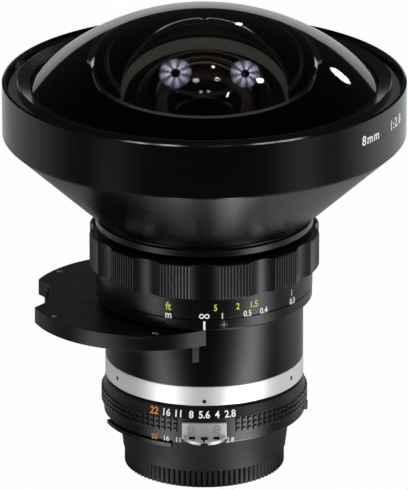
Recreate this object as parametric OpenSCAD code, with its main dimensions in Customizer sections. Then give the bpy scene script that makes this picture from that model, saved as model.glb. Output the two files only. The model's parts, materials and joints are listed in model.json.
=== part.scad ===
// Circular fisheye lens with a built-in filter turret, standing on its rear cap.
// The origin is on the optical axis at the foot of the cap. +Z points to the front glass,
// and the index marks face -Y. An azimuth counts from -Y, positive towards +X.

/* [Fits] */
// Radial gap of a turning or sliding fit
run_fit = 0.08; // [0.05:0.01:0.1]
// Radial gap of a seated, screwed or cemented fit
seat_fit = 0.02; // [0.01:0.01:0.05]
// Gap between pieces that pass each other
air = 0.3; // [0.2:0.05:0.4]

/* [Rear cap] */
// Height of the cap
cap_h = 16.8; // [16:0.1:20]
// Wall of the cap at its mouth
cap_wall = 1.9; // [1.2:0.1:2.2]
// Thickness of the cap's floor
cap_floor = 1.8; // [1.2:0.1:2.4]
// How much smaller the foot is than the mouth, on the radius
cap_taper = 1.7; // [0.6:0.1:2]
// Height of the ribbed grip at the foot
cap_rib_h = 5.8; // [4:0.1:7]
// Depth of the grip ribs
cap_rib_depth = 0.7; // [0.3:0.05:0.9]
// Number of grip ribs
cap_ribs = 90; // [60:1:110]
// Thickness of the cap's bayonet lugs
cap_lug_t = 1.5; // [1:0.1:1.8]
// Angle that each cap lug spans
cap_lug_angle = 50; // [40:1:54]

/* [Bayonet mount] */
// Radius of the bayonet tube, half of the camera's throat
throat_r = 22; // [21.6:0.05:22.2]
// How far the lugs stand out from the tube
lug_reach = 1.5; // [1.2:0.1:1.7]
// Thickness of the lugs
lug_t = 2; // [1.5:0.1:2.2]
// Angle that each lug spans
lug_angle = 56; // [50:1:60]
// Wall of the bayonet tube
tube_wall = 2.5; // [1.8:0.1:2.7]
// Length of the bayonet tube behind the flange
tube_len = 7.4; // [6.8:0.1:8]
// Thickness of the flange
flange_t = 2.2; // [1.8:0.1:2.6]
// Number of flange screws
flange_screws = 5; // [3:1:6]
// Radius of a flange screw's shank
flange_screw_r = 0.8; // [0.6:0.05:1]

/* [Aperture ring] */
// Height of the aperture ring
ap_h = 11.6; // [11:0.1:13]
// Wall of the aperture ring at its grip band
ap_wall = 2.1; // [1.9:0.05:2.6]
// Height of the plain band at the foot of the ring
ap_foot_h = 3.4; // [2.8:0.1:4]
// Height of the grip band
ap_grip_h = 4.7; // [4:0.1:5.2]
// How far the numbered band draws in towards the top
ap_draw = 0.6; // [0.2:0.05:0.8]
// Turn of the ring from one stop to the next
stop_angle = 7.4; // [6:0.05:7.5]

/* [Metering prong] */
// Width of the prong's plate
prong_w = 13.2; // [11:0.1:15]
// Thickness of the prong's sheet
prong_t = 1; // [0.8:0.05:1.3]
// How far the ear stands out from the plate
prong_reach = 4.8; // [4:0.1:6.4]

/* [Barrel] */
// Outer radius of the main barrel
barrel_r = 30.35; // [29.5:0.05:31.5]
// Wall of the main barrel
barrel_wall = 2.35; // [2:0.05:2.7]
// Height of the main barrel
barrel_h = 19.3; // [18.8:0.1:22]
// Height of the chrome ring
chrome_h = 6.2; // [5:0.1:8]
// Gap between the aperture ring and the chrome ring
chrome_gap = 0.5; // [0.3:0.05:0.8]
// Wall of the rear neck that the aperture ring turns on
neck_wall = 2; // [1.6:0.05:2.2]

/* [Filter turret] */
// Distance from the optical axis to the wheel's pivot
wheel_offset = 17.8; // [17.2:0.05:18.6]
// Outer radius of the turret housing
turret_r = 35.8; // [35.2:0.05:37]
// Radius of the filter wheel
wheel_r = 31.2; // [30.8:0.05:31.6]
// Thickness of the filter wheel
wheel_t = 2.6; // [2.2:0.05:3]
// Thickness of the turret cover
cover_t = 0.9; // [0.7:0.05:1.1]
// Thickness of the turret floor
turret_floor_t = 0.7; // [0.5:0.05:1]
// Radius of a filter glass
filter_r = 7.6; // [7:0.05:8.2]
// Thickness of a filter glass
filter_t = 1.4; // [1:0.05:1.5]
// Radius of the wheel's pivot pin
pivot_r = 2.5; // [2:0.05:3]
// Height of the saddle under the turret
saddle_h = 5.4; // [4:0.1:6.5]

/* [Iris] */
// Radius of the opening with the blades fully drawn back
iris_open_r = 9.6; // [9:0.05:10]
// Width of a blade
blade_w = 4.9; // [4.4:0.05:5.2]
// Thickness of a blade
blade_t = 0.2; // [0.1:0.01:0.22]
// Distance from one blade's level to the next
blade_pitch = 0.3; // [0.28:0.01:0.34]
// Radius of the circle of blade pivots
blade_pivot_r = 19.5; // [19:0.05:20]
// Turn of a blade for each degree of the drive ring
blade_ratio = 0.58; // [0.5:0.01:0.6]

/* [Focusing] */
// Height of the fixed index ring
index_h = 3.5; // [3:0.1:4]
// Height of the distance scale
scale_h = 6.2; // [5.5:0.1:8]
// Height of the ribbed grip
grip_h = 11.8; // [10:0.1:14]
// Wall of the helicoid sleeve
sleeve_wall = 1; // [0.8:0.05:1.2]
// Wall of the helicoid nut
nut_wall = 0.94; // [0.8:0.02:1.2]
// Wall of the focus ring at its scale
scale_wall = 1.13; // [0.9:0.01:1.4]
// Depth of the finger valleys below the grip pads
valley_depth = 1.4; // [1:0.05:1.5]
// Height of the grip pads above the scale
pad_rise = 2.25; // [2.1:0.05:2.6]
// Number of grip pads
pads = 12; // [8:1:14]
// Number of ribs on each pad
pad_ribs = 10; // [5:1:12]
// Gap between the focus ring and the collar
collar_gap = 1.9; // [1.2:0.1:2.5]
// Height of the collar
collar_h = 2.2; // [1.8:0.1:3]

/* [Hood] */
// Outer radius of the hood ring
hood_r = 61.5; // [60.8:0.1:63]
// Height of the hood ring
hood_h = 16.9; // [15.5:0.1:18]
// Wall of the hood ring
hood_wall = 2; // [1.6:0.1:2.4]
// Height of the cone shell
cone_h = 25.6; // [24.5:0.1:28]
// Wall of the cone shell, measured across the radius
cone_wall = 2.6; // [2:0.1:3]
// Height of the shadow groove under the cone
cone_groove = 0.9; // [0.6:0.05:1.4]

/* [Front glass] */
// Radius of the front glass's outer curve
dome_r = 74; // [72:0.5:80]
// Width of the rim between the front glass and the outside of the hood
rim_w = 8.3; // [7.8:0.1:9]
// Height of the front glass's edge
dome_edge_h = 4.8; // [4:0.1:5.4]
// Radius of the front glass's hollow
hollow_r = 29.5; // [28.5:0.5:33]
// Thickness of the front glass on the axis
dome_t = 5.9; // [5:0.1:7]
// Width of the front retaining ring
front_ring_w = 3.8; // [3.4:0.1:4.2]
// Depth of the groove between the retaining ring and the hood
groove_depth = 2.6; // [2:0.1:3]

/* [Inner glass] */
// Radius of the second element's outer curve
second_r = 32; // [31:0.5:36]
// Radius of the second element at its edge
second_edge_r = 26; // [25:0.1:26.5]
// Radius of the second element's hollow
second_hollow_r = 20; // [19:0.5:22]
// Radius of the third element at its edge
third_edge_r = 15; // [14:0.1:16]
// Radius of the fourth element at its edge
fourth_edge_r = 12; // [11:0.1:13]
// Radius of the rear element at its edge
rear_edge_r = 13.6; // [13:0.1:14]
// Outer radius of the rear cell
rear_cell_r = 16; // [15.6:0.1:16.2]
// How far the rear cell reaches behind the flange
rear_reach = 12; // [10:0.1:12.5]

/* [Hidden] */

round_fn = 128;
small_fn = 48;
edge = 0.4;                                   // break on an outer edge
cut = 1;                                      // how far a cut runs past a face
sink = 0.2;                                   // how far two fused shapes reach into each other
end_play = 0.2;                               // axial gap of a turning ring
touch = 0.05;                                 // gap between a glass and the ring that holds it

// Radii that stack outwards from the main barrel
barrel_in = barrel_r - barrel_wall;
neck_step = 1.45;                             // from the barrel in to the neck
neck_r = barrel_r - neck_step;
neck_in = neck_r - neck_wall;
spigot_r = barrel_in - seat_fit;
flange_r = neck_r - air - edge;
tube_in = throat_r - tube_wall;
lug_r = throat_r + lug_reach;
chrome_proud = 0.1;                           // how far the chrome ring stands out of the barrel
chrome_r = barrel_r + chrome_proud;
ap_bore = neck_r + run_fit;
ap_grip_r = ap_bore + ap_wall;
ap_foot_step = 0.2;                           // from the grip band in to the foot band
ap_foot_r = ap_grip_r - ap_foot_step;
flange_bolt_r = (throat_r + flange_r) / 2;
bolt_cover = 1.28;                            // from a flange screw out to the aperture ring's lip
lip_r = flange_bolt_r + flange_screw_r + bolt_cover;
foot_cover = 0.8;                             // from a flange screw in to the lever guard
foot_in = flange_bolt_r - flange_screw_r - foot_cover;
neck_low_r = lip_r - run_fit;
guide_step = 0.45;                            // from the barrel in to the guide tube
guide_wall = 1.45;
guide_out = barrel_r - guide_step;
guide_in = guide_out - guide_wall;
sleeve_in = guide_out + run_fit;
sleeve_r = sleeve_in + sleeve_wall;
nut_in = sleeve_r + run_fit;
nut_r = nut_in + nut_wall;
scale_in = nut_r + seat_fit;
scale_r = scale_in + scale_wall;
index_step = 0.1;                             // from the distance scale in to the index ring
index_r = scale_r - index_step;
pad_r = scale_r + pad_rise;
valley_r = pad_r - valley_depth;
collar_wall = 2.3;
collar_r = sleeve_r + seat_fit + collar_wall;
cone_foot_r = collar_r;
hood_step = 0.3;                              // from the hood ring in to the cone
cone_top_r = hood_r - hood_step;
inner_r = guide_in - run_fit;
inner_top_r = sleeve_in - seat_fit;
cell_r = hood_r - hood_wall - seat_fit;
dome_edge_r = hood_r - rim_w;
cap_lug_gap = 0.9;                            // around the lens's lugs inside the cap
cap_bore = lug_r + cap_lug_gap;
cap_top_r = cap_bore + cap_wall;
cap_foot_r = cap_top_r - cap_taper;

// Levels that stack upwards from the foot of the cap
lugs = 3;
z_flange = cap_h + end_play;
z_tube = z_flange - tube_len;
bayonet_play = 0.5;                           // between the two sets of lugs
z_cap_lug = z_tube + lug_t + bayonet_play;
z_neck = z_flange + flange_t;
z_ap = z_flange + air;
z_ap_grip = z_ap + ap_foot_h;
z_ap_num = z_ap_grip + ap_grip_h;
z_ap_top = z_ap + ap_h;
lip_t = 1.7;
z_lip = z_neck + end_play;
z_shoulder = z_lip + lip_t + end_play;
neck_foot_t = 2.8;
z_neck_foot = z_neck + neck_foot_t;
z_chrome = z_ap_top + chrome_gap;
z_barrel = z_chrome + chrome_h;
z_barrel_top = z_barrel + barrel_h;
z_index_top = z_barrel_top + index_h;
z_focus = z_index_top + end_play;
z_grip = z_focus + scale_h;
grip_neck_h = 0.9;                            // shadow line between the scale and the grip
z_pad = z_grip + grip_neck_h;
z_grip_top = z_grip + grip_h;
z_collar = z_grip_top + collar_gap;
z_collar_top = z_collar + collar_h;
z_cone = z_collar_top + cone_groove;
z_hood = z_cone + cone_h;
z_hood_top = z_hood + hood_h;

// Filter chamber, counted down from the top of the barrel
roof_t = 1.5;
wheel_gap = 0.35;
z_chamber_top = z_barrel_top - roof_t;
z_wheel_top = z_chamber_top - wheel_gap;
z_wheel = z_wheel_top - wheel_t;
z_chamber = z_wheel - wheel_gap;
chamber_r = wheel_r + wheel_gap;
web_t = 2.2;
z_web = z_chamber - web_t;
z_turret = z_chamber - turret_floor_t;
z_cover_top = z_chamber_top + cover_t;
filters = 5;
filter_angle = 360 / filters;
filter_lip = 0.8;                             // width of the ledge that carries a filter
filter_ledge_t = 0.5;
z_filter = z_wheel + filter_ledge_t;
z_filter_ring = z_filter + filter_t;
filter_ring_t = 0.5;
light_margin = 1.2;
light_r = filter_r + light_margin;            // light path through the chamber's floor and roof
turret_bolt_r = (chamber_r + turret_r) / 2;
turret_bolt_angles = [85, 143, 214, 275];
turret_screw_r = 0.5;
turret_head_r = 0.95;
turret_grip = 2;                              // thread of a turret screw in the body
turret_end_x = 0.5;                           // the housing's square ends on the barrel
turret_end_w = 2.25;                          // how far those ends stand out of the barrel
turret_end_y = barrel_r + turret_end_w;
turret_face = [3.5, 1.5];                     // width and slope of the facet on each of those ends
wheel_show = 1.5;                             // how much of the wheel shows in the notch
notch_x = -wheel_offset - wheel_r + wheel_show;
notch_mouth = -wheel_offset - turret_r - cut;
notch_back = [8, 18];                         // notch corners on the +Y side, inner and outer
notch_front = [-5.6, -15];                    // notch corners on the -Y side
saddle_wall = 0.6;
saddle_r = barrel_r + seat_fit + saddle_wall;
saddle_tab_rise = 0.9;
saddle_tab_r = saddle_r + saddle_tab_rise;
saddle_end = 3;                               // degrees from the front line to the saddle's end
saddle_tab = 3.6;                             // degrees that the end tab spans
z_saddle = z_turret - saddle_h;

// Iris, counted down from the web under the filter chamber
blades = 7;
blade_step = 360 / blades;
iris_plate_t = 1.5;
z_plate = z_web - iris_plate_t;
z_drive_top = z_plate - blade_pitch * (blades + 1);
drive_t = 1.2;
z_drive = z_drive_top - drive_t;
retainer_t = 1.5;
z_ret_top = z_drive - end_play;
z_ret = z_ret_top - retainer_t;
blade_pin_r = 0.8;
drive_pin_r = 0.5;
drive_pin_d = 4;                              // from a blade's pivot to its drive pin
drive_pin_angle = 60;
iris_margin = 0.5;
iris_hole_r = iris_open_r + iris_margin;
drive_r = blade_pivot_r + drive_pin_d;
stop_open = -2 * stop_angle;                  // widest stop, counted from the stop at rest
stop_shut = 4 * stop_angle;
over_swing = 2;                               // degrees that a window is longer than the travel
lever_gap = 1.2;                              // from the rear cell out to the lever
lever_t = 1.4;
lever_r = [rear_cell_r + lever_gap, rear_cell_r + lever_gap + lever_t];
lever_angle = 210;
lever_half = 6.5;                             // half of the angle that the lever spans
lever_reach = 6;                              // how far the lever stands out behind the flange
z_lever = z_flange - lever_reach;
arm_angle = 120;
arm_gap = 0.7;                                // from the neck's wall in to the arm
arm_t = 1.6;
arm_r = [neck_in - arm_gap - arm_t, neck_in - arm_gap];
fork_r = arm_r[1] + air;                      // fork on the drive ring that the arm moves
arm_w = 2.8;
arm_half = asin(arm_w / 2 / arm_r[0]);         // half of the angle that the arm spans
arm_pin_r = 1;
arm_rise = 3.8;                               // of the arm's pin above the foot band
z_arm = z_ap_grip + arm_rise;
click_angle = 300;
click_r = 0.8;
click_drop = 2 * click_r;
z_click = z_ap_top - click_drop;

// Front group, counted down from the hood's lip
dome_sink = 1.7;                              // of the front glass's edge below the hood's lip
z_dome_edge = z_hood_top - dome_sink;
z_seat = z_dome_edge - dome_edge_h;
z_dome_c = z_dome_edge - sqrt(dome_r * dome_r - dome_edge_r * dome_edge_r);
z_apex = z_dome_c + dome_r;
z_hollow_c = z_apex - dome_t - hollow_r;
hollow_edge_r = sqrt(hollow_r * hollow_r - pow(z_seat - z_hollow_c, 2));
z_groove = z_hood_top - groove_depth;
front_ring_r = dome_edge_r + front_ring_w;
hood_lip_w = 0.9;
hood_lip_r = hood_r - hood_lip_w;
second_drop = 18;                             // air between the first two elements on the axis
z_second_top = z_apex - dome_t - second_drop;
z_second_c = z_second_top - second_r;
second_t = 4;
z_second_hollow_c = z_second_top - second_t - second_hollow_r;
second_h = 17;
z_second = z_second_top - second_h;
z_second_edge = z_second_c + sqrt(second_r * second_r - second_edge_r * second_edge_r);
second_seat_w = 0.5;                          // ledge under the second element's hollow
second_clear_r = second_hollow_r - second_seat_w;
second_ring_w = 3.5;
second_ring_r = second_edge_r + second_ring_w;
second_seat_h = 1;
z_second_ring = z_second + second_seat_h;
second_ring_rise = 1.7;
z_second_ring_top = z_second_edge + second_ring_rise;
cell_wall = 2;
cell_foot_h = 4;
cell_lip_t = 1.5;
z_cell = z_second - cell_foot_h;
third_h = 8;
z_third = z_cell - third_h;
inner_gap = 0.6;                              // from the barrel's roof to the focusing inner barrel
z_inner = z_barrel_top + inner_gap;
fourth_rise = 4.5;
z_fourth = z_inner + fourth_rise;
fourth_h = 11;
guide_drop = 2.6;                             // of the guide tube's end below the grip's top
z_guide_top = z_grip_top - guide_drop;
focus_room = 1.8;                             // above the guide tube's end
z_inner_web = z_guide_top + focus_room;
key_angles = [30, 150, 270];
key_w = 3.8;
key_travel = 1;                               // how far the keys can rise in their slots
slot_l = 8;
z_key = z_guide_top - slot_l;

function at(r, a) = [r * cos(a), r * sin(a)];
function az(a) = a - 90;                      // polar angle of an azimuth from the front
function beta(a) = blade_ratio * (a - stop_open);
function pin_at(a) = [blade_pivot_r + drive_pin_d * cos(drive_pin_angle + beta(a)),
                      drive_pin_d * sin(drive_pin_angle + beta(a))];
function turned(p, a) = [p[0] * cos(a) - p[1] * sin(a), p[0] * sin(a) + p[1] * cos(a)];
function unit(v) = v / norm(v);
function left_of(v) = [-v[1], v[0]];
// How far a spherical glass of this curve rises from its edge to the radius r
function rise(curve, edge_r, r) = sqrt(curve * curve - r * r) - sqrt(curve * curve - edge_r * edge_r);
// A corner of the saddle's end tab, on the side s, some degrees back from its end
function saddle_corner(s, r, back) = at(r, s * (90 + saddle_end + back));
function lug_place(i) = 360 / lugs * i + 90;  // polar angle of a bayonet lug's middle
function blade_angle(i) = blade_step * i + 12;
function z_blade(i) = z_plate - blade_pitch * (i + 1);

// Shapes used by several pieces

module revolve(points) {
  rotate_extrude($fn = round_fn) polygon(points);
}

module tube(r_in, r_out, z0, z1) {
  rotate_extrude($fn = round_fn) translate([r_in, z0]) square([r_out - r_in, z1 - z0]);
}

module arc_tube(r_in, r_out, z0, z1, a0, a1) {
  rotate(a0) rotate_extrude(angle = a1 - a0, $fn = round_fn)
    translate([r_in, z0]) square([r_out - r_in, z1 - z0]);
}

// A tube whose two outer edges are broken
module broken_ring(r_in, r_out, z0, z1) {
  b = edge / 2;
  revolve([[r_in, z0], [r_out - b, z0], [r_out, z0 + b], [r_out, z1 - b], [r_out - b, z1], [r_in, z1]]);
}

module rod(r, z0, z1, fn = round_fn) {
  translate([0, 0, z0]) cylinder(r = r, h = z1 - z0, $fn = fn);
}

module radial_rod(r, r_in, r_out, z, a) {
  rotate(a) translate([r_in, 0, z]) rotate([0, 90, 0])
    cylinder(r = r, h = r_out - r_in, $fn = small_fn);
}

// Puts its children on a round wall, at a polar angle, with their +Z pointing in to the axis
module on_wall(r, z, a) {
  rotate(a) translate([r, 0, z]) rotate([0, -90, 0]) children();
}

module ball(r, z, fn = round_fn) {
  translate([0, 0, z]) sphere(r = r, $fn = fn);
}

module slab(z0, z1) {
  translate([0, 0, z0]) linear_extrude(z1 - z0) children();
}

module ribbed_outline(count, r_low, r_high, land) {
  step = 360 / count;
  polygon([for (i = [0 : count - 1], k = [[-0.5, r_low], [-land, r_high], [land, r_high]])
    at(k[1], step * (i + k[0] + 0.5))]);
}

// A screw with its head at z = 0: a set screw has one slot, a headed one a cross recess
module screw(head_r, head_t, shank_r, length) {
  crossed = head_r > shank_r;
  reach = crossed ? 0.7 * head_r : head_r + cut;
  half = head_r / (crossed ? 8 : 6);
  difference() {
    revolve([[0, 0], [head_r, 0], [head_r, head_t], [shank_r, head_t], [shank_r, length], [0, length]]);
    for (a = crossed ? [0, 90] : [0])
      rotate(a) translate([-reach, -half, -cut]) cube([2 * reach, 2 * half, cut + head_t / 2]);
  }
}

// A glass between two edge planes: a positive curve bulges out, a negative one is hollow
module glass(r, z0, z1, curves) {
  land = r - 2 * edge;
  top = curves[0];
  bottom = curves[1];
  difference() {
    intersection() {
      rod(r, z0 - 2 * r * (bottom > 0 ? 1 : 0), z1 + 2 * r * (top > 0 ? 1 : 0));
      if (top > 0) ball(top, z1 - sqrt(top * top - r * r));
      if (bottom > 0) ball(bottom, z0 + sqrt(bottom * bottom - r * r));
    }
    if (top < 0) ball(-top, z1 + sqrt(top * top - land * land));
    if (bottom < 0) ball(-bottom, z0 - sqrt(bottom * bottom - land * land));
  }
}

// Rear cap

module rear_cap() {
  step_z = cap_rib_h + cap_wall;
  low_bore = cap_foot_r - cap_rib_depth - cap_wall;
  rib_land = 0.2;                            // half of a rib's flat, as a share of its step
  color("#1d1d1f") {
    difference() {
      union() {
        rod(cap_foot_r - cap_rib_depth - edge, 0, edge);
        slab(edge, cap_rib_h) ribbed_outline(cap_ribs, cap_foot_r - cap_rib_depth, cap_foot_r, rib_land);
        revolve([[0, cap_rib_h], [cap_foot_r + edge, cap_rib_h], [cap_top_r, cap_h - edge],
          [cap_top_r - edge, cap_h], [0, cap_h]]);
      }
      revolve([[0, cap_floor], [low_bore, cap_floor], [low_bore, step_z], [cap_bore, step_z + cap_wall],
        [cap_bore, cap_h + cut], [0, cap_h + cut]]);
    }
    for (i = [0 : lugs - 1])
      arc_tube(throat_r + air, cap_bore + sink, z_cap_lug, z_cap_lug + cap_lug_t,
        lug_place(i) - cap_lug_angle / 2, lug_place(i) + cap_lug_angle / 2);
  }
}

// Bayonet mount and the rear of the barrel

flange_head_r = 2 * flange_screw_r;
flange_head_t = flange_t / 2;
flange_grip = 2;                              // thread of a flange screw in the neck
flange_screw_l = flange_t + flange_grip;
lock_angle = 20;                              // polar angle of the camera's lock pin
lock_r = 1.3;
lock_depth = 1.2;

module flange_bolt_places() {
  for (i = [0 : flange_screws - 1])
    rotate(360 / flange_screws * (i + 0.3)) translate([flange_bolt_r, 0, z_flange]) children();
}

module bayonet_flange() {
  color("#c9cacc") difference() {
    union() {
      revolve([[tube_in, z_tube], [throat_r, z_tube], [throat_r, z_flange], [flange_r, z_flange],
        [flange_r, z_neck], [tube_in, z_neck]]);
      for (i = [0 : lugs - 1])
        arc_tube(throat_r - sink, lug_r, z_tube, z_tube + lug_t,
          lug_place(i) - lug_angle / 2, lug_place(i) + lug_angle / 2);
    }
    flange_bolt_places() {
      rod(flange_head_r + seat_fit, -cut, flange_head_t, small_fn);
      rod(flange_screw_r + seat_fit, 0, flange_t + cut, small_fn);
    }
    // hole for the camera's lock pin
    rotate(lock_angle) translate([flange_bolt_r, 0, z_flange]) rod(lock_r, -cut, lock_depth, small_fn);
  }
}

module bayonet_screws() {
  color("#b5b6b8") flange_bolt_places()
    screw(flange_head_r, flange_head_t, flange_screw_r, flange_screw_l);
}

guard_t = 1.5;

module rear_neck() {
  color("#232326") difference() {
    revolve([[foot_in, z_neck], [neck_low_r, z_neck], [neck_low_r, z_shoulder], [neck_r, z_shoulder],
      [neck_r, z_barrel], [spigot_r, z_barrel], [spigot_r, z_ret], [neck_in, z_ret],
      [neck_in, z_neck_foot], [foot_in, z_neck_foot]]);
    flange_bolt_places() rod(flange_screw_r + seat_fit, flange_t - cut, flange_screw_l + air, small_fn);
    // window that the aperture drive arm swings in
    arc_tube(neck_in - cut, neck_r + cut, z_arm - arm_pin_r - air, z_arm + arm_pin_r + air,
      arm_angle + stop_open - arm_half - over_swing, arm_angle + stop_shut + arm_half + over_swing);
    radial_rod(click_r + seat_fit, neck_r - 2 * click_r, neck_r + cut, z_click, click_angle);
    chrome_screw_places() rod(chrome_screw_r + seat_fit, -cut, chrome_screw_l + touch, small_fn);
  }
}

module lever_slot(z0, z1) {
  arc_tube(lever_r[0] - air, lever_r[1] + air, z0, z1,
    lever_angle + stop_open - lever_half - over_swing,
    lever_angle + stop_shut + lever_half + over_swing);
}

module lever_guard() {
  color("#2a2a2d") difference() {
    tube(rear_cell_r + seat_fit, foot_in - seat_fit, z_neck, z_neck + guard_t);
    lever_slot(z_neck - cut, z_neck + guard_t + cut);
  }
}

z_rear = z_flange - rear_reach;
rear_ring_t = 1.2;
rear_curves = [48, -70];                      // front and back of the rear element
middle_curves = [-34, 40];
front_curves = [26, -60];
rear_edge_h = 2.6;
middle_edge_h = 4;
front_edge_h = 3.4;
z_rear_glass = z_rear + rear_ring_t;
middle_gap = 4.8;                             // between the edges of the last two elements
z_middle_glass = z_rear_glass + rear_edge_h + middle_gap;
z_rear_ledge = z_middle_glass + middle_edge_h;
front_seat = 11;                              // from the retainer down to the front element's ledge
z_rear_front = z_ret - front_seat;
rear_ledge_w = 2.6;
rear_mid_r = rear_edge_r - rear_ledge_w;
front_step = 1;                               // the front element is this much smaller in radius
rear_front_r = rear_edge_r - front_step;
spacer_w = 1.2;
spacer_in = rear_edge_r - spacer_w;
rear_ring_w = 1.8;

module rear_cell() {
  color("#1c1c1e") revolve([[rear_edge_r + seat_fit, z_rear], [rear_cell_r - edge, z_rear],
    [rear_cell_r, z_rear + edge], [rear_cell_r, z_ret], [rear_front_r + seat_fit, z_ret],
    [rear_front_r + seat_fit, z_rear_front], [rear_mid_r, z_rear_front], [rear_mid_r, z_rear_ledge],
    [rear_edge_r + seat_fit, z_rear_ledge]]);
}

module rear_element_1() {
  color("#b9c7d0", 0.4) glass(rear_front_r, z_rear_front, z_rear_front + front_edge_h, front_curves);
}

module rear_element_2() {
  color("#b9c7d0", 0.4) glass(rear_edge_r, z_middle_glass, z_rear_ledge, middle_curves);
}

module rear_element_3() {
  color("#b9c7d0", 0.4) glass(rear_edge_r, z_rear_glass, z_rear_glass + rear_edge_h, rear_curves);
}

// The ring behind the rear element, and the spacer between it and the middle one
module rear_retaining_ring() {
  z_foot = z_rear_glass + rear_edge_h + rise(rear_curves[0], rear_edge_r, spacer_in) + touch;
  z_head = z_middle_glass - rise(middle_curves[1], rear_edge_r, spacer_in) - touch;
  color("#161617") {
    tube(rear_edge_r - rear_ring_w, rear_edge_r, z_rear, z_rear_glass);
    tube(spacer_in, rear_edge_r, z_foot, z_head);
  }
}

// Chrome ring

chrome_screw_r = 0.7;
chrome_screw_l = 1.8;
set_screw_head = 0.6;                         // depth that stands for a set screw's slotted end
set_screw_sink = 0.1;                         // how far a set screw sits below the wall
chrome_screw_az = [-61, 61, 180];

module chrome_screw_places() {
  for (a = chrome_screw_az)
    on_wall(chrome_r - set_screw_sink, z_chrome + chrome_h / 2, az(a)) children();
}

module chrome_ring() {
  color("#cfcfcb") difference() {
    broken_ring(neck_r + seat_fit, chrome_r, z_chrome, z_barrel);
    chrome_screw_places() rod(chrome_screw_r + seat_fit, -cut, chrome_screw_l + cut, small_fn);
  }
}

module chrome_ring_screws() {
  color("#8c8d90") chrome_screw_places()
    screw(chrome_screw_r, set_screw_head, chrome_screw_r, chrome_screw_l);
}

// Main barrel and filter turret

click_circle = 9;                             // radius of the wheel's click dimples
click_rise = 0.1;                             // how far the ball stands into the chamber
dimple_r = 0.6;
dimple_depth = 0.2;

module at_wheel() {
  translate([-wheel_offset, 0, 0]) children();
}

module wheel_chamber() {
  at_wheel() rod(chamber_r, z_chamber, z_chamber_top);
}

module main_barrel() {
  color("#242427") difference() {
    revolve([[barrel_in, z_barrel], [barrel_r, z_barrel], [barrel_r, z_barrel_top],
      [guide_out, z_barrel_top], [guide_out, z_guide_top], [guide_in, z_guide_top],
      [guide_in, z_barrel_top - edge],
      [light_r, z_barrel_top - edge], [light_r, z_chamber_top], [barrel_in, z_chamber_top],
      [barrel_in, z_chamber], [light_r, z_chamber], [light_r, z_web], [barrel_in, z_web]]);
    wheel_chamber();
    at_wheel() rod(pivot_r + seat_fit, z_web - cut, z_chamber + cut, small_fn);
    wheel_click_place() rod(click_r + seat_fit, z_chamber - 2 * click_r, z_chamber + cut, small_fn);
    // slots for the helicoid's guide keys
    for (a = key_angles)
      rotate(a) translate([guide_in - cut, -key_w / 2 - run_fit, z_key - air])
        cube([guide_wall + 2 * cut, key_w + 2 * run_fit, slot_l + air + cut]);
    index_screw_place() rod(index_screw_r + seat_fit, index_screw_l - index_screw_in - cut,
      index_screw_l + touch, small_fn);
  }
}

module wheel_pivot() {
  color("#a8a9ab") at_wheel() rod(pivot_r, z_web, z_chamber_top - seat_fit);
}

module wheel_click_place() {
  at_wheel() translate([0, click_circle, 0]) children();
}

module wheel_click_ball() {
  color("#d0d0d0") wheel_click_place() ball(click_r, z_chamber - click_r + click_rise, small_fn);
}

module turret_outline() {
  difference() {
    union() {
      translate([-wheel_offset, 0]) circle(r = turret_r, $fn = round_fn);
      translate([-wheel_offset, -turret_end_y]) square([wheel_offset + turret_end_x, 2 * turret_end_y]);
    }
    circle(r = barrel_r + seat_fit, $fn = round_fn);
    translate([turret_end_x, -turret_r]) square([turret_r, 2 * turret_r]);
    for (s = [-1, 1])
      polygon([[turret_end_x - turret_face[0], s * turret_end_y],
        [turret_end_x, s * (turret_end_y - turret_face[1])],
        [turret_end_x + cut, s * turret_end_y], [turret_end_x, s * (turret_end_y + cut)]]);
    polygon([[notch_x, notch_back[0]], [notch_x, notch_front[0]],
      [notch_mouth, notch_front[1]], [notch_mouth, notch_back[1]]]);
  }
}

module turret_bolt_places() {
  for (a = turret_bolt_angles)
    at_wheel() rotate(a) translate([turret_bolt_r, 0, z_cover_top]) mirror([0, 0, 1]) children();
}

module turret_body() {
  color("#202023") difference() {
    slab(z_turret, z_chamber_top) turret_outline();
    wheel_chamber();
    turret_bolt_places()
      rod(turret_screw_r + seat_fit, cover_t - cut, cover_t + turret_grip + touch, small_fn);
  }
}

module turret_cover() {
  color("#1b1b1e") difference() {
    slab(z_chamber_top, z_cover_top) turret_outline();
    turret_bolt_places() {
      rod(turret_head_r + seat_fit, -cut, cover_t / 2, small_fn);
      rod(turret_screw_r + seat_fit, 0, cover_t + cut, small_fn);
    }
  }
}

module turret_screws() {
  color("#6f7073") turret_bolt_places()
    screw(turret_head_r, cover_t / 2, turret_screw_r, cover_t + turret_grip);
}

module turret_saddle() {
  color("#29292c") {
    arc_tube(barrel_r + seat_fit, saddle_r, z_saddle, z_turret, 90 + saddle_end, 270 - saddle_end);
    for (s = [-1, 1])
      slab(z_saddle, z_turret) polygon([saddle_corner(s, saddle_r - sink, 0), saddle_corner(s, saddle_r, 0),
        saddle_corner(s, saddle_tab_r, saddle_tab), saddle_corner(s, saddle_r - sink, saddle_tab)]);
  }
}

module wheel_outline() {
  teeth = 60;
  tooth_h = 0.5;
  tooth_land = 0.3;                           // half of a tooth's flat, as a share of its step
  translate([-wheel_offset, 0]) ribbed_outline(teeth, wheel_r - tooth_h, wheel_r, tooth_land);
}

module filter_places() {
  for (i = [0 : filters - 1]) filter_place(i) children();
}

module filter_place(i) {
  at_wheel() rotate(filter_angle * i) translate([wheel_offset, 0, 0]) children();
}

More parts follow.
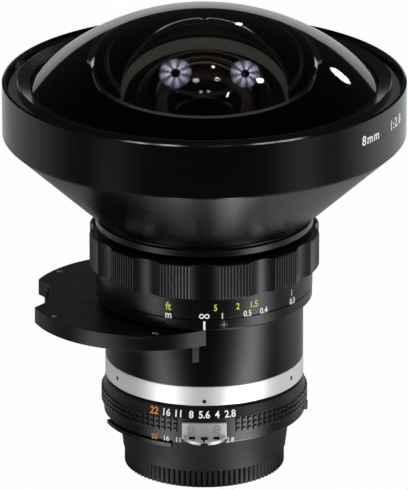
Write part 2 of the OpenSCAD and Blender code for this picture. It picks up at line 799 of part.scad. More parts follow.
module filter_wheel() {
  color("#34343a") difference() {
    slab(z_wheel, z_wheel_top) wheel_outline();
    at_wheel() rod(pivot_r + run_fit, z_wheel - cut, z_wheel_top + cut, small_fn);
    filter_places() {
      rod(filter_r - filter_lip, z_wheel - cut, z_wheel_top + cut);
      rod(filter_r + seat_fit, z_filter, z_wheel_top + cut);
    }
    for (i = [0 : filters - 1])
      at_wheel() rotate(filter_angle * i) translate([0, click_circle, 0])
        rod(dimple_r, z_wheel - cut, z_wheel + dimple_depth, small_fn);
  }
}

module filter_glass(i, tint) {
  color(tint, 0.6) filter_place(i) rod(filter_r, z_filter, z_filter_ring);
}

module filter_clear() { filter_glass(0, "#dfe8ea"); }
module filter_light_yellow() { filter_glass(1, "#f2e59a"); }
module filter_yellow() { filter_glass(2, "#f0c93c"); }
module filter_orange() { filter_glass(3, "#e07a24"); }
module filter_red() { filter_glass(4, "#b32222"); }

module filter_rings() {
  color("#18181a") filter_places()
    tube(filter_r - filter_lip, filter_r, z_filter_ring, z_filter_ring + filter_ring_t);
}

// Index ring and helicoid

index_screw_r = 0.7;
index_head_r = 1.4;
index_head_t = 0.8;
index_screw_in = 1;                           // thread of the index screw in the guide tube
index_screw_l = index_r - guide_out + index_screw_in;
index_screw_az = 10.5;
z_index_mid = z_barrel_top + index_h / 2;
set_hole_az = -22;
set_hole_r = 0.45;
set_hole_depth = 1.2;

module index_screw_place() {
  on_wall(index_r, z_index_mid, az(index_screw_az)) children();
}

module index_ring() {
  color("#232326") difference() {
    revolve([[guide_out + seat_fit, z_barrel_top], [index_r - edge, z_barrel_top],
      [index_r, z_barrel_top + edge], [index_r, z_index_top], [guide_out + seat_fit, z_index_top]]);
    index_screw_place() {
      rod(index_head_r + seat_fit, -cut, index_head_t, small_fn);
      rod(index_screw_r + seat_fit, 0, index_screw_l + cut, small_fn);
    }
    // set-screw hole
    radial_rod(set_hole_r, index_r - set_hole_depth, index_r + cut, z_index_mid, az(set_hole_az));
  }
}

module index_screw() {
  color("#2e2e31") index_screw_place()
    screw(index_head_r, index_head_t, index_screw_r, index_screw_l);
}

lock_t = 1.2;
nut_lip_t = 1.9;
z_lock = z_focus + nut_lip_t + end_play;
z_sleeve = z_lock + lock_t + air;
z_nut_top = z_grip_top - air;

module focus_lock_ring() {
  color("#8f7a4a") tube(guide_out + seat_fit, sleeve_r, z_lock, z_lock + lock_t);
}

module helicoid_nut() {
  color("#b08d4c") revolve([[sleeve_in, z_focus], [nut_r, z_focus], [nut_r, z_nut_top],
    [nut_in, z_nut_top], [nut_in, z_focus + nut_lip_t], [sleeve_in, z_focus + nut_lip_t]]);
}

module grip_outline() {
  step = 360 / pads;
  half = step * 4 / 15;                       // half of the angle that a pad spans
  rib = 2 * half / pad_ribs;
  rib_depth = 0.34;
  rib_shape = [[0.05, 1], [0.44, 0], [0.56, 0], [0.95, 1]];   // share of a rib's step, and of its depth
  valley_bow = 1.2;                           // how much deeper a valley is in its middle
  valley = step / 2 - half;
  polygon([for (i = [0 : pads - 1]) let (mid = az(step * (i + 0.5))) each concat(
    [for (k = [0 : pad_ribs - 1], q = rib_shape)
      at(pad_r - rib_depth * q[1], mid - half + rib * (k + q[0]))],
    [for (t = [-1 : 0.125 : 1]) at(valley_r + valley_bow * t * t, mid + step / 2 + t * valley)])]);
}

module focus_ring() {
  color("#262629") difference() {
    union() {
      revolve([[0, z_focus], [scale_r - edge / 2, z_focus], [scale_r, z_focus + edge / 2],
        [scale_r, z_grip], [valley_r - sink, z_grip], [valley_r - sink, z_pad], [0, z_pad]]);
      intersection() {
        slab(z_pad, z_grip_top) grip_outline();
        revolve([[0, z_pad], [pad_r - edge, z_pad], [pad_r, z_pad + edge], [pad_r, z_grip_top - edge],
          [pad_r - edge, z_grip_top], [0, z_grip_top]]);
      }
    }
    rod(scale_in, z_focus - cut, z_grip_top + cut);
  }
}

module helicoid_sleeve() {
  color("#a9aaad") {
    tube(sleeve_in, sleeve_r, z_sleeve, z_collar_top);
    for (a = key_angles)
      rotate(a) translate([inner_r + sink, -key_w / 2, z_key])
        cube([sleeve_in - inner_r, key_w, slot_l - key_travel]);
  }
}

// Collar, cone and hood

collar_screw_r = 0.9;
collar_screw_l = 1.9;
collar_screw_az = [54.5, 174.5, -65.5];

module collar_screw_places() {
  for (a = collar_screw_az)
    on_wall(collar_r - set_screw_sink, z_collar + collar_h / 2, az(a)) children();
}

module front_collar() {
  color("#232326") difference() {
    broken_ring(sleeve_r + seat_fit, collar_r, z_collar, z_collar_top);
    collar_screw_places() rod(collar_screw_r + seat_fit, -cut, collar_screw_l + cut, small_fn);
  }
}

module collar_screws() {
  color("#77787b") collar_screw_places()
    screw(collar_screw_r, set_screw_head, collar_screw_r, collar_screw_l);
}

cone_slope = (cone_top_r - cone_foot_r) / cone_h;
cone_flange = 1.8;
cone_flange_r = cone_top_r - cone_wall - cone_flange * cone_slope;
cone_root_r = cone_foot_r - 2 * edge;         // bottom of the shadow groove

module cone_shell() {
  color("#1a1a1c") revolve([[cone_foot_r - cone_groove * cone_slope - cone_wall, z_collar_top],
    [cone_root_r, z_collar_top], [cone_root_r, z_cone], [cone_foot_r, z_cone],
    [cone_top_r, z_hood], [cone_flange_r, z_hood], [cone_flange_r, z_hood - cone_flange]]);
}

module hood_ring() {
  color("#18181a") revolve([[hood_r - hood_wall, z_hood], [hood_r - edge, z_hood], [hood_r, z_hood + edge],
    [hood_r, z_hood_top - edge], [hood_r - 0.15 * edge, z_hood_top - 0.7 * edge],
    [hood_r - 1.65 * edge, z_hood_top], [hood_lip_r, z_hood_top],
    [hood_lip_r, z_groove], [hood_r - hood_wall, z_groove]]);
}

// Front cell and its glass

glass_lip = 0.6;                              // how far a retaining lip covers a glass
cell_top_in = dome_edge_r + seat_fit;
cell_neck_r = second_ring_r + cell_wall;
third_lip_r = third_edge_r - glass_lip;
cell_floor_t = 3.5;
z_cell_floor = z_seat - cell_floor_t;
seat_bevel = 1.4;                             // outside the front glass's hollow
cell_flare = 8.5;                             // how far the cell widens above its neck
cell_neck_h = 6;
z_cell_neck = z_second - cell_wall;

module front_cell() {
  color("#121213") revolve([[cell_r, z_hood], [cell_r, z_groove], [cell_top_in, z_groove],
    [cell_top_in, z_seat], [hollow_edge_r + seat_bevel, z_seat],
    [second_ring_r + seat_fit, z_second_ring_top + edge], [second_ring_r + seat_fit, z_second_ring],
    [second_edge_r + seat_fit, z_second_ring], [second_edge_r + seat_fit, z_second],
    [second_clear_r, z_second], [second_clear_r, z_cell + cell_lip_t],
    [third_lip_r, z_cell + cell_lip_t], [third_lip_r, z_cell], [second_clear_r + cell_wall, z_cell],
    [second_clear_r + cell_wall, z_cell_neck], [cell_neck_r, z_cell_neck],
    [cell_neck_r, z_cell_neck + cell_neck_h], [cell_neck_r + cell_flare, z_cell_floor],
    [cell_r - cell_wall, z_cell_floor], [cell_r - cell_wall, z_hood]]);
}

module front_element() {
  color("#6f6152", 0.35) difference() {
    intersection() {
      rod(dome_edge_r, z_seat, z_apex + cut);
      ball(dome_r, z_dome_c);
    }
    ball(hollow_r, z_hollow_c);
  }
}

front_lip_w = 0.3;                            // how far that ring's lip covers the front glass
front_ring_lip_r = dome_edge_r - front_lip_w;
z_front_lip = z_dome_edge + rise(dome_r, dome_edge_r, front_ring_lip_r) + touch;
lip_h = 0.3;                                  // of a retaining ring's inner lip
front_ring_rise = 0.8;                        // from that lip up to the ring's rim
z_front_rim = z_front_lip + lip_h + front_ring_rise;

module front_retaining_ring() {
  color("#161618") revolve([[cell_top_in, z_groove], [front_ring_r, z_groove], [front_ring_r, z_front_rim],
    [front_ring_r - edge, z_front_rim + edge], [front_ring_lip_r, z_front_lip + lip_h],
    [front_ring_lip_r, z_front_lip], [cell_top_in, z_front_lip]]);
}

module second_element() {
  color("#7a6d60", 0.35) difference() {
    intersection() {
      rod(second_edge_r, z_second, z_second_top + cut);
      ball(second_r, z_second_c);
    }
    ball(second_hollow_r, z_second_hollow_c);
  }
}

second_ring_lip_r = second_edge_r - glass_lip;
z_second_lip = z_second_edge + rise(second_r, second_edge_r, second_ring_lip_r) + touch;

module second_retaining_ring() {
  color("#1f1f21") revolve([[second_edge_r + seat_fit, z_second_ring], [second_ring_r, z_second_ring],
    [second_ring_r, z_second_ring_top], [second_ring_lip_r, z_second_ring_top],
    [second_ring_lip_r, z_second_lip], [second_edge_r + seat_fit, z_second_lip]]);
}

third_curves = [-22, -60];
fourth_curves = [30, -80];

module third_element() {
  color("#7f8b93", 0.35) glass(third_edge_r, z_third, z_cell, third_curves);
}

module fourth_element() {
  color("#7f8b93", 0.35) glass(fourth_edge_r, z_fourth, z_fourth + fourth_h, fourth_curves);
}

module inner_barrel() {
  wall = 2.2;
  ledge = 1.5;                                // under the fourth element
  floor_t = 1.2;
  skirt_in = inner_r - wall;
  z_floor = z_fourth - floor_t;
  color("#141416") revolve([[fourth_edge_r - ledge, z_floor], [fourth_edge_r + wall, z_floor],
    [fourth_edge_r + wall, z_inner_web], [skirt_in, z_inner_web], [skirt_in, z_inner], [inner_r, z_inner],
    [inner_r, z_inner_web], [inner_top_r, z_inner_web], [inner_top_r, z_collar_top],
    [third_edge_r + wall, z_collar_top], [third_edge_r + wall, z_cell], [third_edge_r + seat_fit, z_cell],
    [third_edge_r + seat_fit, z_third], [fourth_edge_r + seat_fit, z_third],
    [fourth_edge_r + seat_fit, z_fourth], [fourth_edge_r - ledge, z_fourth]]);
}

// Iris

module iris_plate() {
  color("#2b2b2e") {
    tube(iris_hole_r, barrel_in - seat_fit, z_plate, z_web);
    for (i = [0 : blades - 1])
      rotate(blade_angle(i)) translate([blade_pivot_r, 0, 0])
        rod(blade_pin_r, z_drive_top + end_play, z_plate + sink, small_fn);
  }
}

module iris_retainer() {
  color("#2b2b2e") difference() {
    tube(iris_hole_r, spigot_r, z_ret, z_ret_top);
    lever_slot(z_ret - cut, z_ret_top + cut);
    arc_tube(arm_r[0] - air, arm_r[1] + air, z_ret - cut, z_ret_top + cut,
      arm_angle + stop_open - arm_half - over_swing, arm_angle + stop_shut + arm_half + over_swing);
  }
}

module drive_slot() {
  steps = 12;
  reach = 3;                                  // degrees that a slot runs past the pin's travel
  slot_play = 0.12;
  half = drive_pin_r + slot_play;
  span = stop_shut - stop_open + 2 * reach;
  path = [for (k = [0 : steps]) let (a = stop_open - reach + span * k / steps) turned(pin_at(a), -a)];
  side = [for (k = [0 : steps]) half * left_of(unit(path[min(k + 1, steps)] - path[max(k - 1, 0)]))];
  polygon(concat([for (k = [0 : steps]) path[k] + side[k]],
    [for (k = [steps : -1 : 0]) path[k] - side[k]]));
}

module iris_drive_ring() {
  fork_half = arm_half + 4;                   // half of the angle that the fork spans
  color("#8e8f92") difference() {
    union() {
      tube(iris_hole_r, drive_r, z_drive, z_drive_top);
      arc_tube(drive_r - sink, fork_r, z_drive, z_drive_top, arm_angle - fork_half, arm_angle + fork_half);
    }
    for (i = [0 : blades - 1])
      rotate(blade_angle(i)) slab(z_drive - cut, z_drive_top + cut) drive_slot();
    rotate(arm_angle) translate([arm_r[0] - run_fit, -arm_w / 2 - run_fit, z_drive - cut])
      cube([fork_r, arm_w + 2 * run_fit, drive_t + 2 * cut]);
  }
}

module stop_down_lever() {
  color("#b4b5b7") arc_tube(lever_r[0], lever_r[1], z_lever, z_drive,
    lever_angle - lever_half, lever_angle + lever_half);
}

module blade_outline() {
  out_r = iris_open_r + blade_w;
  blade_span = [6, 55, 105];                  // angles from the blade's root to its tip
  neck_span = [38, 30];                       // angles where the neck joins the crescent
  eye_r = 1.9;                                // round the pivot
  tab_r = 1.1;                                // round the drive pin
  difference() {
    union() {
      intersection() {
        difference() {
          circle(r = out_r, $fn = round_fn);
          circle(r = iris_open_r, $fn = round_fn);
        }
        polygon([[0, 0], for (a = blade_span) at(2 * out_r, a)]);
      }
      // neck from the crescent to the eye
      polygon([[blade_pivot_r, -eye_r + sink], [blade_pivot_r, eye_r - sink], at(out_r - sink, neck_span[0]),
        at(iris_open_r + eye_r, neck_span[1]), at(iris_open_r + eye_r, blade_span[0])]);
      translate([blade_pivot_r, 0]) {
        circle(r = eye_r, $fn = small_fn);
        rotate(drive_pin_angle) translate([0, -tab_r]) square([drive_pin_d, 2 * tab_r]);
        translate(at(drive_pin_d, drive_pin_angle)) circle(r = tab_r, $fn = small_fn);
      }
    }
    translate([blade_pivot_r, 0]) circle(r = blade_pin_r + run_fit, $fn = small_fn);
  }
}

module iris_blade(i) {
  color("#1e1e20") rotate(blade_angle(i)) translate([blade_pivot_r, 0, 0]) rotate(beta(0))
    translate([-blade_pivot_r, 0, 0]) {
      slab(z_blade(i), z_blade(i) + blade_t) blade_outline();
      translate([blade_pivot_r, 0, 0]) translate(at(drive_pin_d, drive_pin_angle))
        rod(drive_pin_r, z_drive + end_play, z_blade(i) + blade_t / 2, small_fn);
    }
}

module iris_blade_1() { iris_blade(0); }
module iris_blade_2() { iris_blade(1); }
module iris_blade_3() { iris_blade(2); }
module iris_blade_4() { iris_blade(3); }
module iris_blade_5() { iris_blade(4); }
module iris_blade_6() { iris_blade(5); }
module iris_blade_7() { iris_blade(6); }

// Aperture ring and metering prong

ridge_az = [-72, -19];
ridge_drop = 1.5;                             // of the ridge below the ring's rear edge
ridge_gap = 0.3;                              // between the ridge's lip and that edge
ridge_in = ap_bore + edge;
ridge_root_r = ap_foot_r - 2 * edge;
ridge_r = ap_foot_r + 0.5;
ring_lug_az = [83, 87];
ring_lug_r = ridge_r + 0.5;
ring_lug_z = [z_ap + 0.6, z_ap + 3];
socket_depth = 1.2;                           // of the drive arm's pin in the ring
groove_r = 0.5;
groove_half = 1;

module aperture_ring() {
  color("#242427") difference() {
    union() {
      revolve([[ap_bore, z_ap], [ap_foot_r - edge, z_ap], [ap_foot_r, z_ap + edge], [ap_foot_r, z_ap_grip],
        [ap_grip_r, z_ap_grip], [ap_grip_r, z_ap_num], [ap_grip_r - ap_draw, z_ap_top - edge],
        [ap_grip_r - ap_draw - edge, z_ap_top], [ap_bore, z_ap_top], [ap_bore, z_lip + lip_t],
        [lip_r, z_lip + lip_t], [lip_r, z_lip], [ap_bore, z_lip]]);
      // coupling ridge on the rear edge, and the small lug opposite
      arc_tube(ridge_in, ridge_root_r, z_ap - ridge_drop, z_ap + sink, az(ridge_az[0]), az(ridge_az[1]));
      arc_tube(ridge_in, ridge_r, z_ap - ridge_drop, z_ap - ridge_gap, az(ridge_az[0]), az(ridge_az[1]));
      arc_tube(ridge_in, ring_lug_r, ring_lug_z[0], ring_lug_z[1], az(ring_lug_az[0]), az(ring_lug_az[1]));
    }
    radial_rod(arm_pin_r + seat_fit, ap_bore - cut, ap_bore + socket_depth + touch, z_arm, arm_angle);
    // click grooves, one for each stop
    for (k = [-4 : 2])
      rotate(click_angle + stop_angle * k) translate([ap_bore + groove_r / 2, 0, 0])
        rod(groove_r, z_click - groove_half, z_click + groove_half, small_fn);
    prong_screw_places() rod(prong_screw_r + seat_fit, -cut, prong_screw_l + touch, small_fn);
  }
}

module aperture_click_ball() {
  color("#d0d0d0") rotate(click_angle) translate([neck_r - click_r - seat_fit, 0, 0])
    ball(click_r, z_click, small_fn);
}

prong_half = asin(prong_w / 2 / ap_grip_r);
prong_h = 5.1;
prong_r = ap_grip_r + prong_t;
ear_tip = prong_r + prong_reach;
ear_root = ap_grip_r * cos(prong_half);
ear_r = (pow(prong_w / 2, 2) + pow(ear_tip - ear_root, 2)) / 2 / (ear_tip - ear_root);
ear_hole = [1.9, 2.4];
ear_hole_x = 3.7;
ear_gap = 2.1;                                // slot between the two ears
ear_web = 0.3;                                // left between the slot and the plate
prong_drop = 1.6;                             // of the prong's foot below the grip band
z_prong = z_ap_grip - prong_drop;
prong_screw_z = 3.3;                          // of the screws above the prong's foot
prong_screw_r = 0.6;
prong_head_r = 1.2;
prong_head_t = 0.28;
prong_grip = 0.9;                             // thread of a prong screw in the ring
prong_screw_l = prong_head_t + prong_t + prong_grip;
prong_screw_az = 7.2;

module prong_screw_places() {
  for (a = [-prong_screw_az, prong_screw_az])
    on_wall(prong_r + prong_head_t, z_prong + prong_screw_z, az(a)) children();
}

module meter_prong() {
  color("#c4c4c0") difference() {
    union() {
      arc_tube(ap_grip_r + seat_fit, prong_r, z_prong, z_prong + prong_h, az(-prong_half), az(prong_half));
      slab(z_prong, z_prong + prong_t) difference() {
        translate([0, -ear_tip + ear_r]) circle(r = ear_r, $fn = round_fn);
        circle(r = ap_grip_r + seat_fit, $fn = round_fn);
        // slot between the ears, and the window in each
        translate([-ear_gap / 2, -ear_tip - cut]) square([ear_gap, ear_tip - prong_r + cut - ear_web]);
        for (s = [-1, 1])
          translate([s * ear_hole_x - ear_hole[0] / 2, -prong_r - ear_hole[1]]) square(ear_hole);
      }
    }
    prong_screw_places() rod(prong_screw_r + seat_fit, -cut, prong_screw_l + cut, small_fn);
  }
}

module prong_screws() {
  color("#aaaaac") prong_screw_places()
    screw(prong_head_r, prong_head_t, prong_screw_r, prong_screw_l);
}

module aperture_drive_arm() {
  color("#9a9b9e") {
    rotate(arm_angle) translate([arm_r[0], -arm_w / 2, z_arm - arm_pin_r])
      cube([arm_t, arm_w, z_drive_top - end_play - z_arm + arm_pin_r]);
    radial_rod(arm_pin_r, arm_r[1] - sink, ap_bore + socket_depth, z_arm, arm_angle);
  }
}

rear_cap();
bayonet_flange();
bayonet_screws();
rear_neck();
lever_guard();
rear_cell();
rear_element_1();
rear_element_2();
rear_element_3();
rear_retaining_ring();
chrome_ring();
chrome_ring_screws();
main_barrel();
wheel_pivot();
wheel_click_ball();
turret_body();
turret_cover();
turret_screws();
turret_saddle();
index_ring();
index_screw();
focus_lock_ring();
iris_plate();
iris_retainer();
aperture_click_ball();
filter_wheel();
filter_clear();
filter_light_yellow();
filter_yellow();
filter_orange();
filter_red();
filter_rings();
aperture_ring();
meter_prong();
prong_screws();
aperture_drive_arm();
iris_drive_ring();
stop_down_lever();
iris_blade_1();
iris_blade_2();
iris_blade_3();
iris_blade_4();
iris_blade_5();
iris_blade_6();
iris_blade_7();
focus_ring();
helicoid_nut();
helicoid_sleeve();
front_collar();
collar_screws();
cone_shell();
hood_ring();
front_cell();
front_element();
front_retaining_ring();
second_element();
second_retaining_ring();
third_element();
fourth_element();
inner_barrel();
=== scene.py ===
"""Circular fisheye lens on its rear cap: finishes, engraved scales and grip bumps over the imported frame.

Lengths times MM are scene metres; plain lengths in a finish are millimetres on the lens.
An azimuth is in degrees from the front line of the lens (-Y), positive towards +X.
"""

import json
import math

import bpy
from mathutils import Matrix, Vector

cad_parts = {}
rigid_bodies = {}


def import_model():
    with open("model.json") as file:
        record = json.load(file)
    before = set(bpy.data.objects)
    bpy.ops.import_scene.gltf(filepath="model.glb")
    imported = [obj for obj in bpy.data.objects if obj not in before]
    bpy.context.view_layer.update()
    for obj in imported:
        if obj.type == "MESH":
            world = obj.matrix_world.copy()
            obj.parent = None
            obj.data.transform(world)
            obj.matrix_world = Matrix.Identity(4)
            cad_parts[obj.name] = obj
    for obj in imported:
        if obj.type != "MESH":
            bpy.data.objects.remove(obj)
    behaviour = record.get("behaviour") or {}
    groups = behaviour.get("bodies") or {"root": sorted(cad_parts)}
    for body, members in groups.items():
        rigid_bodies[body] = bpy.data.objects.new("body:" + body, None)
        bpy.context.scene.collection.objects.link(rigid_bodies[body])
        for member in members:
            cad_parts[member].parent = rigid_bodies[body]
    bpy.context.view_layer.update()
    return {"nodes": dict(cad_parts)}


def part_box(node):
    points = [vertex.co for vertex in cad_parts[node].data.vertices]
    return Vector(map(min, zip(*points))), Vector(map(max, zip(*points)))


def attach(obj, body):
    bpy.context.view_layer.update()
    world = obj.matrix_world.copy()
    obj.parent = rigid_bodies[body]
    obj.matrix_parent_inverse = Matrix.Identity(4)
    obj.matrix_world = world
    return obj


MM = 0.001
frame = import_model()
NODES = frame["nodes"]
scene = bpy.context.scene


# Sizes read from the frame

def outer_radius(node):
    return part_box(node)[1].x


def foot_of(node):
    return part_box(node)[0].z


def top_of(node):
    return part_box(node)[1].z


def crown_radius(node):
    return max(corner.co.xy.length for corner in NODES[node].data.vertices)


HOOD_R = outer_radius("hood_ring")
INDEX_R = outer_radius("index_ring")
CHROME_R = outer_radius("chrome_ring")
INDEX_FOOT = foot_of("index_ring")
INDEX_TOP = top_of("index_ring")
CHROME_FOOT = foot_of("chrome_ring")
HOOD_TOP = top_of("hood_ring")

# Walls that carry marks, where the frame's boxes don't show them
SCALE_R = 33.15 * MM
GRIP_R = 31.08 * MM
FOOT_BAND_R = 30.88 * MM
NUMBER_BAND = (25.4 * MM, 28.5 * MM)
NUMBER_BAND_R = (31.08 * MM, 30.48 * MM)

# How far the paint in a mark stands out and how deep it goes
LIFT = 0.035 * MM
FILL_DEPTH = 0.06 * MM

# Radius of an edge as it shows
EDGE = 0.12 * MM

# Places where a finish changes, in millimetres
PAD_R = 35.4
PAD_CREST = (PAD_R - 0.16, PAD_R - 0.04)
CROSS_DEPTH = 0.05
CAP_FOOT_R = 24.6
CAP_GROOVE = (CAP_FOOT_R - 0.6, CAP_FOOT_R - 0.2)
CAP_RIB_H = 5.8
FRONT_BORE = (28.5, 30.8)
# Above this height the helicoid's brass and alloy are black: blackened metal as well as painted shade in
# the gap between the collar and the focus ring
BLACK_AND_SHADE_ABOVE = top_of("focus_ring") / MM - 2

# Windows and slot in the ears of the meter prong, in millimetres
EAR_WINDOW_X = 3.7
EAR_WINDOW_HALF = 0.97
EAR_SLOT_HALF = 1.07
EAR_ROOT = 31.6
EAR_WINDOW_END = 34.4
EAR_TOP = foot_of("meter_prong") / MM + 0.95

# Greys inside the finishes
# Painted highlight on the crests of the focus grip's ribs, partly wear
CREST_HIGHLIGHT_GREY = 0.045
BORE_SURROUND = 0.12
# Painted glint in the screws' driver crosses, as well as bare metal
CROSS_GLINT_GREY = 0.62
SCREW_GREY = 0.02
PLATING_BLACK_AND_SHADE = 0.006
# Painted shade inside the prong's ear windows and slot
WINDOW_SHADE_BLACK = 0.004
# Painted shade between the ribs of the cap's foot
GROOVE_SHADE_BLACK = 0.001


def front_point(radius, azimuth, height):
    a = math.radians(azimuth)
    return Vector((radius * math.sin(a), -radius * math.cos(a), height))


# Shader maths

class Value:
    """A node's output; operators between values add Math nodes."""

    def __init__(self, shader, socket):
        self.shader = shader
        self.socket = socket

    def math(self, operation, *others):
        inputs = dict(enumerate((self,) + others))
        return self.shader.node("ShaderNodeMath", {"operation": operation}, inputs)

    def __add__(self, other):
        return self.math("ADD", other)

    def __mul__(self, other):
        return self.math("MULTIPLY", other)

    def __sub__(self, other):
        return self.math("SUBTRACT", other)

    def __truediv__(self, other):
        return self.math("DIVIDE", other)

    def __gt__(self, other):
        return self.math("GREATER_THAN", other)

    def __rsub__(self, other):
        return (self * -1) + other


class Shader:
    """A node tree of a material or a world."""

    def __init__(self, owner):
        owner.use_nodes = True
        self.tree = owner.node_tree
        self.tree.nodes.clear()

    def node(self, kind, settings=None, inputs=None, out=0):
        """Adds a node, sets its settings, then its sockets, and returns one output."""
        made = self.tree.nodes.new(kind)
        for key, value in (settings or {}).items():
            setattr(made, key, value)
        for key, value in (inputs or {}).items():
            if isinstance(value, Value):
                self.tree.links.new(value.socket, made.inputs[key])
            else:
                made.inputs[key].default_value = value
        return Value(self, made.outputs[out]) if made.outputs else None

    def parts(self, vector):
        """X, Y and Z of a vector."""
        return [self.node("ShaderNodeSeparateXYZ", None, {0: vector}, k) for k in range(3)]

    def place(self):
        """Object coordinates in millimetres, as X, Y and Z values."""
        coords = self.node("ShaderNodeTexCoord", out="Object")
        scaled = self.node("ShaderNodeVectorMath", {"operation": "SCALE"}, {0: coords, "Scale": 1 / MM})
        return self.parts(scaled)

    def vector(self, x, y, z):
        return self.node("ShaderNodeCombineXYZ", None, {0: x, 1: y, 2: z})

    def noise(self, vector, scale, detail):
        return self.node("ShaderNodeTexNoise", None, {"Vector": vector, "Scale": scale, "Detail": detail})

    def blend(self, factor, first, second):
        """A colour between two, by a factor."""
        return self.node("ShaderNodeMix", {"data_type": "RGBA"}, {0: factor, 6: first, 7: second}, 2)

    def bump(self, height, strength, depth):
        """A bumped normal, over edges that are rounded a little; the depth is in millimetres."""
        broken = self.node("ShaderNodeBevel", {"samples": 4}, {"Radius": EDGE})
        return self.node("ShaderNodeBump", None, {
            "Height": height, "Strength": strength, "Distance": depth * MM, "Normal": broken})

    def surface(self, kind, inputs, output="ShaderNodeOutputMaterial"):
        self.node(output, None, {"Surface": self.node(kind, None, inputs)})

    def principled(self, inputs):
        self.surface("ShaderNodeBsdfPrincipled", inputs)


def rgb(red, green, blue):
    return (red, green, blue, 1.0)


def shade(colour, share):
    """A colour made darker or lighter by a share."""
    return rgb(*(channel * share for channel in colour))


def dark(grey, share=1.0):
    return shade((grey, grey, grey), share)


def new_shader(name):
    material = bpy.data.materials.new(name)
    return material, Shader(material)


def smooth(value, low, high):
    """0 below low, 1 above high and a soft step between."""
    inputs = {"Value": value, "From Min": low, "From Max": high}
    return value.shader.node("ShaderNodeMapRange", {"interpolation_type": "SMOOTHSTEP"}, inputs)


def ramp(value, start, gain):
    return value * gain + start


def uneven(noise, middle, width):
    """A number that wanders round a middle."""
    return ramp(noise, middle - width / 2, width)


def off_axis(x, y):
    """Distance from the axis."""
    return (x * x + y * y).math("SQRT")


def ripple(value, pitch):
    """A sine along a value, one wave per pitch."""
    return (value * (2 * math.pi / pitch)).math("SINE")


# Finishes

def black_enamel(name, grey, roughness, peel):
    """Baked enamel: faint orange peel and a little haze."""
    material, s = new_shader(name)
    point = s.vector(*s.place())
    haze = s.noise(point, scale=0.09, detail=4.0)
    grain = s.noise(point, scale=1.4, detail=2.0)
    s.principled({
        "Base Color": s.blend(haze, dark(grey), dark(grey, 1.65)),
        "Roughness": uneven(haze, roughness, width=0.1),
        "Specular IOR Level": 0.5,
        "Normal": s.bump(grain, peel, depth=0.02),
    })
    return material


def turned_black(name, grey, roughness, pitch):
    """Black anodised metal with the lathe's fine lines round the axis."""
    material, s = new_shader(name)
    x, y, z = s.place()
    stretched = s.vector(x * 0.15, y * 0.15, z * 2.0)
    wander = s.noise(stretched, scale=1.0, detail=3.0)
    dust = s.noise(s.vector(x, y, z), scale=0.6, detail=5.0)
    s.principled({
        "Base Color": s.blend(dust, dark(grey, 0.8), dark(grey, 1.4)),
        "Roughness": uneven(wander, roughness, width=0.16),
        "Specular IOR Level": 0.5,
        "Normal": s.bump(ripple(z, pitch) + wander, strength=0.25, depth=0.004),
    })
    return material


def ribbed_grip(name, grey, roughness):
    """Black focus grip: the crests of its ribs carry a painted highlight in dull grey, partly worn paint;
    the grooves stay dark.
    """
    material, s = new_shader(name)
    x, y, z = s.place()
    wear_and_sheen = s.noise(s.vector(x, y, z), scale=0.8, detail=4.0)
    # Painted highlight: lighter grey on the rib crests, uneven like wear
    crest_highlight = smooth(off_axis(x, y), *PAD_CREST) * ramp(wear_and_sheen, 0.5, 0.5)
    s.principled({
        "Base Color": s.blend(crest_highlight, dark(grey), dark(CREST_HIGHLIGHT_GREY)),
        "Roughness": uneven(wear_and_sheen, roughness, width=0.08),
        "Specular IOR Level": 0.5,
        "Normal": s.bump(wear_and_sheen, strength=0.05, depth=0.02),
    })
    return material


def worn_screw_with_glints(name, upright, crown, wear_and_sheen):
    """Blackened screw, light grey in its driver cross and in speckles on the head: painted glints as well
    as bare, worn metal.

    The crown is the height of an upright screw's head, or the radius of one in a round wall.
    """
    material, s = new_shader(name)
    x, y, z = s.place()
    wear = s.noise(s.vector(x, y, z), scale=1.5, detail=3.0)
    level = z if upright else off_axis(x, y)
    head = level > (crown - CROSS_DEPTH)
    # Light speckles on the black are painted glints as well as a worn black finish
    plating_and_glints = s.blend(wear > 0.55, dark(SCREW_GREY), dark(wear_and_sheen))
    s.principled({
        # Below the crown, in the driver cross, a painted glint as well as bare metal
        "Base Color": s.blend(head, dark(CROSS_GLINT_GREY), plating_and_glints),
        "Metallic": 0.5,
        "Roughness": uneven(wear, 0.29, width=0.1),
        "Normal": s.bump(wear, strength=0.1, depth=0.01),
    })
    return material


def plated(name, colour, roughness, pitch, metallic=1.0, black_and_shade_from=None):
    """Plated metal with a fine turned grain round the axis, black above a height where one is given:
    blackened metal as well as painted shade in the gap between the collar and the focus ring.
    """
    material, s = new_shader(name)
    x, y, z = s.place()
    stretched = s.vector(x * 0.12, y * 0.12, z / pitch)
    grain = s.noise(stretched, scale=1.0, detail=4.0)
    patch = s.noise(s.vector(x, y, z), scale=0.07, detail=3.0)
    metal = s.blend(patch, shade(colour, 0.93), rgb(*colour))
    # Painted shade as well as blackening, where the gap between the collar and the focus ring shows
    if black_and_shade_from:
        metal = s.blend(z > black_and_shade_from, metal, dark(PLATING_BLACK_AND_SHADE))
    s.principled({
        "Base Color": metal,
        "Metallic": metallic,
        "Roughness": uneven(grain, roughness, width=0.14),
        "Normal": s.bump(grain, strength=0.2, depth=0.006),
    })
    return material


